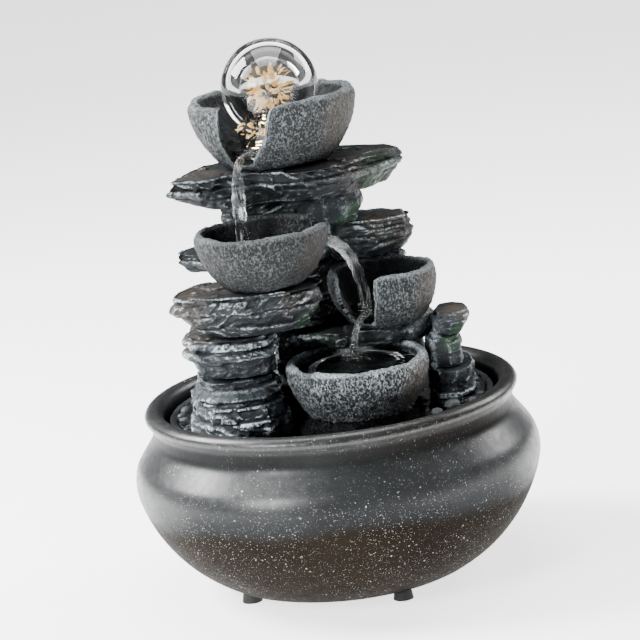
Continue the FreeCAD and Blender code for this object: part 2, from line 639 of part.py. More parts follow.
def rounded_path(points):
    """A wire of straight runs joined by tangent arcs, one at each corner of the given path."""
    edges, start = [], points[0]
    for before, corner, after in zip(points, points[1:], points[2:]):
        back, ahead = (before - corner), (after - corner)
        shorter = min(back.Length, ahead.Length)
        turn = math.pi - back.getAngle(ahead)
        reach = 0.45 * shorter
        radius = reach / math.tan(turn / 2)
        first = corner + FreeCAD.Vector(back).normalize() * reach
        last = corner + FreeCAD.Vector(ahead).normalize() * reach
        bisector = (FreeCAD.Vector(back).normalize() + FreeCAD.Vector(ahead).normalize()).normalize()
        middle = corner + bisector * (radius / math.cos(turn / 2) - radius)
        edges.append(Part.LineSegment(start, first).toShape())
        edges.append(Part.Arc(first, middle, last).toShape())
        start = last
    edges.append(Part.LineSegment(start, points[-1]).toShape())
    return Part.Wire(edges)


def make_lead():
    """The light's lead, down the riser channel beside the hose to its plug above the pump."""
    x, y = DIMS["riser_x"] + DIMS["lead_offset"], DIMS["riser_y"]
    top = DIMS["top_bowl_z"] + DIMS["top_bowl_floor"]
    deck = DIMS["plate_z"]
    socket = DIMS["pump_top_z"]
    plug_x = DIMS["riser_x"] + DIMS["socket_offset"]
    plug_z = socket + DIMS["socket_high"] + DIMS["gap"]
    route = [FreeCAD.Vector(x, y, top), FreeCAD.Vector(x, y, deck - 4),
             FreeCAD.Vector(plug_x, y, deck - 14), FreeCAD.Vector(plug_x, y, plug_z + DIMS["plug_high"])]
    path = rounded_path(route)
    ring = Part.Wire(Part.Circle(route[0], UP, DIMS["lead_rad"]).toShape())
    shape = path.makePipeShell([ring], True, False)
    print("lead volume", round(shape.Volume, 1), "expected",
          round(path.Length * math.pi * DIMS["lead_rad"] ** 2, 1))
    lead = doc.addObject("Part::Feature", "light_lead")
    lead.Shape = shape
    node(lead, "light_lead")
    plug = block("light_plug", dim("plug_long"), dim("plug_wide"), dim("plug_high"),
                 dim("riser_x") + dim("socket_offset") - dim("plug_long") / 2,
                 dim("riser_y") - dim("plug_wide") / 2,
                 dim("pump_top_z") + dim("socket_high") + dim("gap"))
    node(plug, "light_plug")


# ---------------------------------------------------------------- pump
def pump_slab(name, y, thick):
    """A slab with the pump's rounded outline, from the plane at y forwards."""
    corner, low, top = dim("pump_corner"), dim("pump_low_z"), dim("pump_top_z")
    left, right = dim("pump_wide") * -0.5, dim("pump_wide") * 0.5
    slab = padded(name, [
        (left + corner, low), (right - corner, low, corner), (right, low + corner),
        (right, top - corner, corner), (right - corner, top), (left + corner, top, corner),
        (left, top - corner), (left, low + corner, corner)], thick, "XZ_Plane")
    return put(slab, dim("pump_x"), y, 0)


def along_y(name, radius, length, start_y, x=None, z=None):
    """A cylinder that lies along Y from start_y backwards, on the rotor's axis unless told."""
    return cylinder(name, radius, length, x or dim("pump_x"), start_y + length, z or dim("rotor_z"),
                    ALONG_Y)


def make_pump_housing():
    """The housing, hollowed for the vanes, the rotor, the shaft's bush, the outlet and the stator."""
    x, front, back, top = dim("pump_x"), dim("pump_front_y"), dim("pump_back_y"), dim("pump_top_z")
    way_rad, way_y = dim("outlet_way_rad"), front + dim("outlet_way_in")
    way_z, riser_y = dim("rotor_z") + dim("outlet_way_up"), dim("riser_y")
    bore_end = front + dim("chamber_long") + dim("rotor_bore_long")
    shell = pump_slab("pump_housing_shell", back, back - front)
    cavities = [
        along_y("pump_chamber", dim("chamber_rad"), dim("chamber_long"), front),
        along_y("pump_rotor_bore", dim("rotor_bore_rad"), bore_end - front, front),
        along_y("pump_shaft_seat", dim("shaft_rad") + dim("bush_wall") + 0.1, dim("shaft_seat_long"),
                bore_end),
        cylinder("pump_outlet_way", way_rad, dim("outlet_way_up"), x, way_y, way_z - 8),
        block("pump_outlet_gallery", way_rad * 2, riser_y - way_y, way_rad * 2, x - way_rad, way_y,
              way_z),
        cylinder("pump_outlet_rise", way_rad, top - way_z, x, riser_y, way_z),
        block("pump_stator_room", dim("stator_room_long"), dim("stator_room_wide"),
              dim("stator_room_high"), x - dim("stator_room_long") / 2, back - dim("stator_room_in"),
              dim("pump_low_z") + dim("stator_room_up")),
    ]
    node(cut("pump_housing_cored", shell, fuse("pump_cavities", cavities)), "pump_housing")


def make_stator():
    """The stator's iron core and the coil above it, in their room under the rotor."""
    x, start_y = dim("pump_x"), dim("pump_back_y") - dim("stator_room_in") + 0.5
    floor = dim("pump_low_z") + dim("stator_room_up") + 0.2
    for name, long, low in (("stator_core", dim("core_long"), floor),
                            ("stator_coil", dim("coil_long"), floor + dim("core_high") + dim("gap"))):
        node(block(name, long, dim("core_wide"), dim("core_high"), x - long / 2, start_y, low), name)


def make_nozzle():
    """The outlet nozzle, which the hose is pushed over, and its collar."""
    x, y, top, bore = dim("pump_x"), dim("riser_y"), dim("pump_top_z"), dim("nozzle_bore_rad")
    spigot = tube("outlet_nozzle_tube", dim("nozzle_rad"), bore, dim("nozzle_long"), x, y, top)
    collar = tube("outlet_nozzle_collar", dim("collar_rad"), bore, dim("collar_high"), x, y, top)
    node(fuse("outlet_nozzle", [spigot, collar]), "outlet_nozzle")


def make_pump_cover():
    """The pull-off front cover: the vanes' eye and inlet, the intake slots and the dial's socket."""
    x, thick = dim("pump_x"), dim("cover_thick")
    back_y = dim("pump_front_y") - dim("gap")
    face_y = back_y - thick
    plate = pump_slab("pump_cover_plate", back_y, thick)
    openings = [
        along_y("pump_cover_eye", dim("eye_rad"), thick, face_y),
        along_y("pump_cover_inlet", dim("inlet_rad"), thick - dim("inlet_skin"), face_y),
        along_y("pump_cover_dial_socket", dim("stem_rad") + dim("run_fit"), thick, face_y,
                dim("dial_x"), dim("dial_z")),
    ]
    first_x = x - dim("slot_step") * (SLOT_COUNT - 1) / 2 - dim("slot_wide") / 2
    for i in range(SLOT_COUNT):
        openings.append(block(f"pump_cover_slot_{i}", dim("slot_wide"), dim("slot_deep"),
                              dim("slot_high"), first_x + dim("slot_step") * i, face_y,
                              dim("pump_top_z") - dim("slot_down")))
    node(cut("pump_front_cover_open", plate, fuse("pump_cover_openings", openings)),
         "pump_front_cover")


def make_flow_dial():
    """The flow dial: a stem through the cover, a disc in front of it, and a finger bar."""
    x, z, stem_rad, thick = dim("dial_x"), dim("dial_z"), dim("stem_rad"), dim("dial_thick")
    face_y = dim("pump_front_y") - dim("gap") - dim("cover_thick")
    disc_y = face_y - dim("gap") - thick
    stem = along_y("dial_stem", stem_rad, dim("cover_thick") - 0.5, face_y - 0.5, x, z)
    disc = along_y("dial_disc", dim("dial_rad"), thick, disc_y, x, z)
    bar = block("dial_bar", dim("key_wide"), dim("key_deep"), dim("key_high"),
                x - dim("key_wide") / 2, disc_y - dim("key_deep") + 0.5, z - dim("key_high") / 2)
    node(fuse("flow_dial_solid", [stem, disc, bar]), "flow_dial")


def make_impeller():
    """The impeller: a magnet rotor, a disc, a hub and crossed vanes, bored for the shaft."""
    x, z, start_y, vane_long = dim("pump_x"), dim("rotor_z"), dim("rotor_start_y"), dim("vane_long")
    hub_y = start_y - dim("vane_long")
    magnet = along_y("rotor_magnet", dim("rotor_rad"), dim("rotor_long"), start_y - 1)
    disc = along_y("rotor_disc", dim("vane_rad"), dim("disc_thick"), start_y - 1 - dim("disc_thick"))
    hub = along_y("rotor_hub", dim("hub_rad"), vane_long, hub_y - 1)
    vanes = []
    blade_long, thick = dim("vane_rad") * 2 - 1, dim("vane_thick")
    for i in range(VANE_COUNT):
        blade = block(f"rotor_vane_{i}", blade_long, vane_long - 1, thick)
        turn = FreeCAD.Rotation(FreeCAD.Vector(0, 1, 0), 180 / VANE_COUNT * i)
        middle = turn.multVec(FreeCAD.Vector(blade_long.value / 2, 0, thick.value / 2))
        vanes.append(put(blade, x - middle.x, hub_y, z - middle.z, turn))
    solid = fuse("rotor_solid", [magnet, disc, hub, *vanes])
    bore = along_y("rotor_hole", dim("shaft_rad") + dim("run_fit"), 40, hub_y - 3)
    node(cut("impeller_drilled", solid, bore), "impeller")


def make_shaft():
    """The steel shaft that the impeller turns on, and the bush that holds its back end."""
    start_y = dim("pump_front_y") + 0.5
    bush_y = dim("pump_front_y") + dim("chamber_long") + dim("rotor_bore_long") + 0.7
    shaft, bush_long = dim("shaft_rad"), dim("bush_long")
    node(along_y("impeller_shaft", shaft, dim("shaft_long"), start_y), "impeller_shaft")
    bush = tube("shaft_bush_rear", shaft + dim("bush_wall"), shaft + dim("bush_fit"), bush_long,
                dim("pump_x"), bush_y + bush_long, dim("rotor_z"), ALONG_Y)
    node(bush, "shaft_bush_rear")


def make_cups():
    """Four suction cups that hold the pump on the pot's floor."""
    floor = dim("pot_floor_z")
    for i, (across, along) in enumerate(CUP_OFFSETS, start=1):
        cup = cone(f"suction_cup_{i}", dim("cup_rad"), dim("cup_top_rad"), dim("pump_low_z") - floor,
                   dim("pump_x") + across, along, floor)
        node(cup, f"suction_cup_{i}")


def make_light_socket():
    """The socket on the pump's top, just under the light's plug."""
    long, wide = dim("socket_long"), dim("socket_wide")
    socket = block("light_socket", long, wide, dim("socket_high"),
                   dim("riser_x") + dim("socket_offset") - long / 2, dim("riser_y") - wide / 2,
                   dim("pump_top_z"))
    node(socket, "light_socket")


# ---------------------------------------------------------------- build and write
def check_and_write():
    """Stops where an object failed or is empty, and writes one file for each sub-part."""
    doc.recompute()
    for thing in doc.Objects:
        if "Invalid" in thing.State or "Error" in thing.State:
            raise RuntimeError(f"{thing.Label} failed: {thing.State}")
    os.makedirs("parts", exist_ok=True)
    for thing in nodes:
        if thing.Shape.isNull() or not thing.Shape.isValid() or thing.Shape.Volume <= 0:
            raise RuntimeError(f"{thing.Label} has no valid shape")
        thing.Shape.exportStep(os.path.join("parts", f"{thing.Label}.step"))
    print(len(nodes), "nodes written")


for line, (alias, number) in enumerate(DIMS.items(), start=1):
    add_cell(line, alias, number)
make_pot()
make_feet()
make_grommet()
for rock_name, rock in ROCKS.items():
    make_rock(rock_name, rock)
for bowl_name, bowl in BOWLS.items():
    make_bowl(bowl_name, bowl)
make_base_plate()
make_legs()
for cluster, places in PEBBLES.items():
    make_pebbles(cluster, places)
make_riser()
make_light()
make_seat()
make_ball()
make_lead()
make_pump_housing()
make_stator()
make_nozzle()
make_pump_cover()
make_flow_dial()
make_impeller()
make_shaft()
make_cups()
make_light_socket()
check_and_write()
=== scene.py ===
import math

import bmesh
import bpy
import numpy as np
from mathutils import Matrix, Vector


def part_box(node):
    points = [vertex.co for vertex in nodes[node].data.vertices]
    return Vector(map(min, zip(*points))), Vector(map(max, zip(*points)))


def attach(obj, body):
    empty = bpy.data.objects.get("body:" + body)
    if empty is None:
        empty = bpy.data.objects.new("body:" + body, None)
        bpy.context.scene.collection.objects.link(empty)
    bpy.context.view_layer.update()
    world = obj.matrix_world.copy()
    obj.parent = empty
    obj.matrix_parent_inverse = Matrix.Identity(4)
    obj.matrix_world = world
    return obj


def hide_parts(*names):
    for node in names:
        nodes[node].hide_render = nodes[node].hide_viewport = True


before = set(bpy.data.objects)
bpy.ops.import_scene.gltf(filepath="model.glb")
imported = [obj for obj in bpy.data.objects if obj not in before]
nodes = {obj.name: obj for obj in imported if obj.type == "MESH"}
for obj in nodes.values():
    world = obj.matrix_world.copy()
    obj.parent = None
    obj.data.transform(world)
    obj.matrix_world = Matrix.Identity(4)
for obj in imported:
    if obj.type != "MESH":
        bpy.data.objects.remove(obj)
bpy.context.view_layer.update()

MM = 0.001
HOLLOW_RADIUS = 15.5  # of the hollow in the ball, in mm
PETAL_THICKNESS = 0.28  # mm
SMALL_ROCK = 44  # a rock narrower than this, in mm, is worn back less
JOINED_GROWTH = 2.4  # how far a rock grows, in mm, where it meets the next one
BED_HEIGHTS = (1.3, 2.2, 3.4, 5.2, 7.5)  # the slate's layers, in mm
LOWER_FOOT_RADIUS = 26.8  # the lower bowl's outline at the film, in mm
# the glaze's specks: cells in a metre, the largest speck's radius in cells, the share of bare cells
SPECKS = ((360, 0.15, 0.86), (620, 0.24, 0.80), (1300, 0.30, 0.76), (2400, 0.32, 0.74))
scene = bpy.context.scene


# ------------------------------------------------------------------ places, from the frame
def foot_of(node):
    """The middle of a round node's foot in mm, to half a millimetre, since facets leave a box short."""
    low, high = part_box(node)
    x, y = (round((low[k] + high[k]) / MM) / 2 for k in (0, 1))
    return np.array([x, y, round(low[2] / MM * 2) / 2])


def moved(origin, rows):
    """Rows that begin with an (x, y, z) offset from origin, as rows in the object's own frame."""
    return [(*(origin + np.array(row[:3])), *row[3:]) for row in rows]


feet = {node: foot_of(node) for node in ("top_bowl", "upper_left_bowl", "right_bowl", "lower_bowl",
                                         "base_plate", "basin_pot")}
corners = {node: np.array(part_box(node)[0]) / MM for node in nodes if node.startswith("rock_")}


# ------------------------------------------------------------------ camera, light and floor
def make_camera():
    """A long lens a little above the pot's rim, rolled so that the fountain leans left."""
    target = Vector((-0.001, 0.0, 0.135))
    elevation, roll, distance = math.radians(12.95), math.radians(6.6), 1.491
    back = Vector((0, -math.cos(elevation), math.sin(elevation)))
    right = Vector((1, 0, 0))
    up = back.cross(right)
    turned_right = right * math.cos(roll) - up * math.sin(roll)
    turned_up = up * math.cos(roll) + right * math.sin(roll)
    data = bpy.data.cameras.new("camera")
    data.sensor_width = 36.0
    data.lens = 163.7
    data.clip_start = 0.05
    data.clip_end = 20
    camera = bpy.data.objects.new("camera", data)
    axes = Matrix((turned_right, turned_up, back)).transposed().to_4x4()
    camera.matrix_world = Matrix.Translation(target + back * distance) @ axes
    scene.collection.objects.link(camera)
    scene.camera = camera


def area_light(name, place, aim, size, power):
    data = bpy.data.lights.new(name, "AREA")
    data.shape = "RECTANGLE"
    data.size, data.size_y = size
    data.energy = power
    lamp = bpy.data.objects.new(name, data)
    lamp.location = place
    lamp.rotation_euler = (Vector(aim) - Vector(place)).to_track_quat("-Z", "Y").to_euler()
    scene.collection.objects.link(lamp)


def make_studio():
    world = bpy.data.worlds.new("studio")
    scene.world = world
    world.use_nodes = True
    world.node_tree.nodes["Background"].inputs["Color"].default_value = (0.93, 0.95, 0.97, 1)
    world.node_tree.nodes["Background"].inputs["Strength"].default_value = 0.13
    middle = (0, 0, 0.13)
    area_light("key", (-0.72, -0.80, 0.62), middle, (0.42, 0.42), 18)
    area_light("left_window", (-1.0, 0.22, 0.98), middle, (0.55, 0.7), 66)
    area_light("right_window", (0.95, 0.50, 0.75), middle, (0.4, 0.6), 11)
    area_light("top", (0.0, 0.15, 1.2), middle, (0.8, 0.6), 12)
    floor = bpy.data.meshes.new("floor")
    half = 6.0
    floor.from_pydata([(-half, -half, 0), (half, -half, 0), (half, half, 0), (-half, half, 0)], [],
                      [(0, 1, 2, 3)])
    board = bpy.data.objects.new("floor", floor)
    scene.collection.objects.link(board)
    material, tree, shader = new_material("floor_paper")
    shader.inputs["Base Color"].default_value = (0.95, 0.95, 0.95, 1)
    shader.inputs["Roughness"].default_value = 0.9
    shader.inputs["Emission Color"].default_value = (1, 1, 1, 1)
    shader.inputs["Emission Strength"].default_value = 2.1
    grain = add(tree, "ShaderNodeTexNoise", Scale=30.0, Detail=4.0)
    wire(tree, coordinates(tree), grain.inputs["Vector"])
    bump = add(tree, "ShaderNodeBump", Strength=0.03)
    wire(tree, grain.outputs["Fac"], bump.inputs["Height"])
    wire(tree, bump.outputs["Normal"], shader.inputs["Normal"])
    board.data.materials.append(material)


# ------------------------------------------------------------------ node helpers
def new_material(name):
    material = bpy.data.materials.new(name)
    material.use_nodes = True
    tree = material.node_tree
    return material, tree, tree.nodes["Principled BSDF"]


def add(tree, kind, **values):
    node = tree.nodes.new(kind)
    for key, value in values.items():
        label = key.replace("_", " ")
        if label in node.inputs:
            node.inputs[label].default_value = value
        else:
            setattr(node, key, value)
    return node


def wire(tree, source, target):
    tree.links.new(source, target)


def coordinates(tree):
    return add(tree, "ShaderNodeTexCoord").outputs["Object"]


def stretched(tree, scale):
    mapping = add(tree, "ShaderNodeMapping")
    mapping.inputs["Scale"].default_value = scale
    wire(tree, coordinates(tree), mapping.inputs["Vector"])
    return mapping.outputs["Vector"]


def noise(tree, scale, detail=4.0, rough=0.55, vector=None, distortion=0.0):
    node = add(tree, "ShaderNodeTexNoise", Scale=scale, Detail=detail, Roughness=rough,
               Distortion=distortion)
    wire(tree, vector or coordinates(tree), node.inputs["Vector"])
    return node.outputs["Fac"]


def attribute(tree, name):
    node = add(tree, "ShaderNodeAttribute", attribute_name=name)
    return node.outputs["Fac"]


def ramp(tree, source, stops):
    """A colour ramp. A stop is (place, grey) or (place, (r, g, b))."""
    node = add(tree, "ShaderNodeValToRGB")
    elements = node.color_ramp.elements
    while len(elements) < len(stops):
        elements.new(0.5)
    for element, (place, tone) in zip(elements, stops):
        element.position = place
        rgb = tone if isinstance(tone, tuple) else (tone, tone, tone)
        element.color = (*rgb, 1)
    wire(tree, source, node.inputs["Fac"])
    return node.outputs["Color"]


def mixed(tree, factor, a, b):
    """Mixes two colours. Each of them, and the factor, is a socket or a plain value."""
    node = add(tree, "ShaderNodeMix", data_type="RGBA")
    for value, socket in ((factor, node.inputs[0]), (a, node.inputs[6]), (b, node.inputs[7])):
        if hasattr(value, "is_output"):
            wire(tree, value, socket)
        elif isinstance(value, tuple):
            socket.default_value = (*value, 1)
        else:
            socket.default_value = value
    return node.outputs[2]


def maths(tree, operation, a, b=0.0, clamp=False):
    node = add(tree, "ShaderNodeMath", operation=operation)
    node.use_clamp = clamp
    for value, socket in ((a, node.inputs[0]), (b, node.inputs[1])):
        if hasattr(value, "is_output"):
            wire(tree, value, socket)
        else:
            socket.default_value = value
    return node.outputs[0]


def remap(tree, source, low, high, to_low=0.0, to_high=1.0):
    node = add(tree, "ShaderNodeMapRange")
    node.interpolation_type = "SMOOTHSTEP"
    wire(tree, source, node.inputs["Value"])
    for key, value in (("From Min", low), ("From Max", high), ("To Min", to_low), ("To Max", to_high)):
        node.inputs[key].default_value = value
    return node.outputs["Result"]


def bumped(tree, shader, height, strength=0.5, distance=0.0005):
    node = add(tree, "ShaderNodeBump", Strength=strength, Distance=distance)
    wire(tree, height, node.inputs["Height"])
    wire(tree, node.outputs["Normal"], shader.inputs["Normal"])


# ------------------------------------------------------------------ noise on arrays, in mm
def hashed(ix, iy, iz, seed):
    """A repeatable number from -1 to 1 for each whole-number cell, mixed by large odd numbers."""
    h = (ix * 374761393 + iy * 668265263 + iz * 2147483647 + seed * 974634777) & 0xFFFFFFFF
    h = ((h ^ (h >> 13)) * 1274126177) & 0xFFFFFFFF
    h = h ^ (h >> 16)
    return (h & 0xFFFFFF) / float(0x7FFFFF) - 1.0


def value_noise(points, size, seed):
    q = points / size
    cell = np.floor(q).astype(np.int64)
    f = q - cell
    f = f * f * f * (f * (f * 6 - 15) + 10)
    total = np.zeros(len(points))
    for dx in (0, 1):
        wx = f[:, 0] if dx else 1 - f[:, 0]
        for dy in (0, 1):
            wy = f[:, 1] if dy else 1 - f[:, 1]
            for dz in (0, 1):
                wz = f[:, 2] if dz else 1 - f[:, 2]
                total += wx * wy * wz * hashed(cell[:, 0] + dx, cell[:, 1] + dy, cell[:, 2] + dz, seed)
    return total


def fractal(points, size, seed, octaves=4):
    total, weight, norm = np.zeros(len(points)), 1.0, 0.0
    for i in range(octaves):
        total += weight * value_noise(points, size / 2 ** i, seed + 31 * i)
        norm += weight
        weight *= 0.5
    return total / norm


def ridged(points, size, seed, octaves=2):
    """Worm-like ridges: 1 on a ridge and 0 between ridges."""
    total, weight, norm = np.zeros(len(points)), 1.0, 0.0
    for i in range(octaves):
        away = np.abs(value_noise(points, size / 2 ** i, seed + 17 * i))
        total += weight * (1 - np.minimum(1, away * 2.6))
        norm += weight
        weight *= 0.5
    return total / norm


def smoothstep(x, low, high):
    t = np.clip((x - low) / (high - low), 0, 1)
    return t * t * (3 - 2 * t)


# ------------------------------------------------------------------ dense meshes from CAD nodes
class Skin:
    """A mesh as arrays in mm: points, quads or triangles, and edges."""

    def __init__(self, mesh):
        count = len(mesh.vertices)
        flat = np.empty(count * 3)
        mesh.vertices.foreach_get("co", flat)
        self.points = flat.reshape(-1, 3) / MM
        pairs = np.empty(len(mesh.edges) * 2, dtype=np.int64)
        mesh.edges.foreach_get("vertices", pairs)
        self.edges = pairs.reshape(-1, 2)
        self.degree = np.bincount(self.edges.ravel(), minlength=count)[:, None].clip(1)
        self.mesh = mesh

    def around(self, values):
        """The average of each vertex's neighbours."""
        total = np.zeros_like(values)
        a, b = self.edges[:, 0], self.edges[:, 1]
        for k in range(values.shape[1]):
            total[:, k] = (np.bincount(a, values[b, k], minlength=len(values))
                           + np.bincount(b, values[a, k], minlength=len(values)))
        return total / self.degree

    def smooth(self, values, times, share=0.6):
        for _ in range(times):
            values = values + share * (self.around(values) - values)
        return values

    def write(self):
        self.mesh.vertices.foreach_set("co", (self.points * MM).ravel())
        self.mesh.update()

    def normals(self):
        self.write()
        flat = np.empty(len(self.points) * 3)
        self.mesh.vertex_normals.foreach_get("vector", flat)
        return flat.reshape(-1, 3)

    def paint(self, name, values):
        layer = self.mesh.attributes.new(name, "FLOAT", "POINT")
        layer.data.foreach_set("value", np.asarray(values, dtype=np.float32))

    def wear_and_crevice_shade(self, reach=6, scale=0.25):
        """How far each vertex stands out of its surroundings: 0.5 is flat, 1 an edge, 0 a crevice. It
        drives both the edge wear and the painted shade in crevices.
        """
        normal = self.normals()
        near = ((self.points - self.smooth(self.points, reach)) * normal).sum(1)
        return np.clip(0.5 + near / scale, 0, 1)


def dense_copy(node, voxel):
    """A closed, evenly dense copy of a CAD node's surface."""
    source = bpy.data.objects.new("temporary", nodes[node].data.copy())
    scene.collection.objects.link(source)
    remesh = source.modifiers.new("even", "REMESH")
    remesh.mode = "VOXEL"
    remesh.voxel_size = voxel * MM
    graph = bpy.context.evaluated_depsgraph_get()
    mesh = bpy.data.meshes.new_from_object(source.evaluated_get(graph))
    bpy.data.objects.remove(source)
    return Skin(mesh)


def place(name, mesh, material, body, slot, replaced=()):
    """Makes a piece from a mesh, hangs it on its body and hides the nodes it stands for; the material slot
    is not used.
    """
    mesh.name = name
    mesh.shade_smooth()
    piece = bpy.data.objects.new(name, mesh)
    scene.collection.objects.link(piece)
    mesh.materials.clear()
    mesh.materials.append(material)
    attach(piece, body)
    if replaced:
        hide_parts(*replaced)
    return piece


def balls(points, spots):
    """A soft mask, 1 inside any of the given spots: (x, y, z, radius, squash in Z)."""
    mask = np.zeros(len(points))
    for x, y, z, radius, squash in spots:
        away = np.sqrt((points[:, 0] - x) ** 2 + (points[:, 1] - y) ** 2
                       + ((points[:, 2] - z) * squash) ** 2)
        mask = np.maximum(mask, 1 - smoothstep(away, radius * 0.55, radius))
    return mask


# ------------------------------------------------------------------ slate
def slate_material():
    """Dark blue-grey slate with pale dry-brush on its edges, painted shade in its crevices, and moss and
    brown wash where it is painted. Its colour is scaled by its tone, which is painted light.
    """
    material, tree, shader = new_material("slate")
    streaks = noise(tree, 1.0, 6, 0.65, stretched(tree, (60, 60, 700)))
    blotch = noise(tree, 55, 5, 0.6)
    grit = noise(tree, 700, 4, 0.7)
    wear_and_crevice_shade = attribute(tree, "wear_and_crevice_shade")
    stone = ramp(tree, blotch, [(0.25, (0.004, 0.006, 0.0075)), (0.5, (0.009, 0.012, 0.0145)),
                                (0.75, (0.022, 0.027, 0.030))])
    lined = mixed(tree, remap(tree, streaks, 0.45, 0.72, 0, 0.6), stone, (0.036, 0.043, 0.047))
    brown = mixed(tree, maths(tree, "MULTIPLY", attribute(tree, "warm"), remap(tree, blotch, 0.3, 0.6)),
                  lined, (0.046, 0.038, 0.030))
    moss_amount = maths(tree, "MULTIPLY", attribute(tree, "moss"), remap(tree, grit, 0.25, 0.6, 0.45, 1))
    green = mixed(tree, moss_amount, brown, (0.008, 0.030, 0.012))
    patches = remap(tree, noise(tree, 38, 4, 0.6), 0.40, 0.60, 0.12, 1.0)
    dry_brush = maths(tree, "MULTIPLY", maths(tree, "MULTIPLY", remap(tree, wear_and_crevice_shade, 0.60, 1.0), patches),
                      remap(tree, noise(tree, 520, 5, 0.75), 0.44, 0.57), True)
    flecks = maths(tree, "MULTIPLY", remap(tree, grit, 0.56, 0.70, 0, 0.35),
                   remap(tree, wear_and_crevice_shade, 0.45, 0.7), True)
    pale = mixed(tree, maths(tree, "MAXIMUM", dry_brush, flecks), green, (0.46, 0.53, 0.56))
    # painted shade: the crevices, where the convexity mask is low, are darkened almost to black
    painted_crevice_shade = mixed(tree, remap(tree, wear_and_crevice_shade, 0.12, 0.45, 0.9, 0), pale, (0.003, 0.004, 0.005))
    # the rock's tone scales the whole colour: painted light, lighter or darker for the light each rock gets
    toned = add(tree, "ShaderNodeVectorMath", operation="SCALE")
    wire(tree, painted_crevice_shade, toned.inputs[0])
    wire(tree, attribute(tree, "tone"), toned.inputs["Scale"])
    wire(tree, toned.outputs[0], shader.inputs["Base Color"])
    wire(tree, remap(tree, noise(tree, 180, 4), 0.3, 0.7, 0.38, 0.70), shader.inputs["Roughness"])
    shader.inputs["Specular IOR Level"].default_value = 0.3
    height = maths(tree, "ADD", maths(tree, "MULTIPLY", streaks, 0.5), maths(tree, "MULTIPLY", grit, 0.5))
    bumped(tree, shader, height, 0.9, 0.0008)
    return material


def slate_piece(node, seed, material, spots_green=(), spots_warm=(), joined=(), tone=1.0,
                voxel=0.75):
    """A CAD ledge as layered slate: beds of uneven thickness, each broken back by its own amount."""
    skin = dense_copy(node, voxel)
    skin.points = skin.smooth(skin.points, 3)
    normal = skin.smooth(skin.normals(), 8)
    normal /= np.linalg.norm(normal, axis=1)[:, None] + 1e-9
    p = skin.points.copy()
    rng = np.random.RandomState(seed)
    low, high = p.min(0), p.max(0)
    flat = p * np.array([1, 1, 0])
    bed_height = p[:, 2] + 2.6 * fractal(flat, 42, seed, 2) + 0.6 * fractal(p, 12, seed + 5, 3)
    levels, at = [], low[2] - 6
    while at < high[2] + 8:
        at += rng.choice(BED_HEIGHTS) * rng.uniform(0.8, 1.25)
        levels.append(at)
    levels = np.array(levels)
    bed = np.searchsorted(levels, bed_height)
    inside = np.clip(bed, 1, len(levels) - 1)
    across = (bed_height - levels[inside - 1]) / (levels[inside] - levels[inside - 1])
    push = rng.uniform(-1.2, 3.2, len(levels) + 1)
    skew = rng.uniform(-1.6, 1.6, (len(levels) + 1, 2))
    shifted = flat + np.stack([bed * 37.7 + skew[bed, 0] * p[:, 2], bed * 91.3 + skew[bed, 1] * p[:, 2],
                               0.8 * p[:, 2]], 1)
    chips = smoothstep(fractal(shifted, 15, seed + 9, 3), -0.12, 0.16)
    flakes = smoothstep(fractal(shifted, 5.5, seed + 19, 2), 0.0, 0.22)
    back = push[bed] + 2.6 * fractal(shifted, 24, seed + 3, 3) + 1.7 * chips + 0.75 * flakes
    back += 0.9 * np.abs(2 * across - 1) ** 4
    back += 0.55 * fractal(p * np.array([1, 1, 1.7]), 4.2, seed + 7, 4)
    terrace = 2.1 * fractal(flat, 26, seed + 11, 4) + 1.0
    step = 1.15
    whole = np.floor(terrace / step)
    terrace = (whole + smoothstep(terrace / step - whole, 0.72, 0.9)) * step
    terrace += 0.30 * fractal(p, 3.4, seed + 13, 3)
    side = smoothstep(np.hypot(normal[:, 0], normal[:, 1]), 0.25, 0.7)
    amount = back * side + np.clip(terrace, -0.4, 3) * (1 - side)
    kept = balls(p, joined)
    amount = amount * min(1, (high - low)[:2].min() / SMALL_ROCK) * (1 - kept)
    amount -= JOINED_GROWTH * kept
    sharp = normal * np.stack([np.ones(len(p)), np.ones(len(p)), 1 - 0.75 * side], 1)
    skin.points = p - sharp * amount[:, None]
    skin.paint("wear_and_crevice_shade", skin.wear_and_crevice_shade(7, 0.75) * 0.5 + skin.wear_and_crevice_shade(2, 0.34) * 0.5)
    # the rock's tone is painted light: one brightness for the whole rock
    skin.paint("tone", np.full(len(p), tone))
    skin.paint("moss", balls(skin.points, spots_green))
    skin.paint("warm", balls(skin.points, spots_warm))
    skin.write()
    place(f"{node}_slate", skin.mesh, material, "tower", "slate_resin", [node])


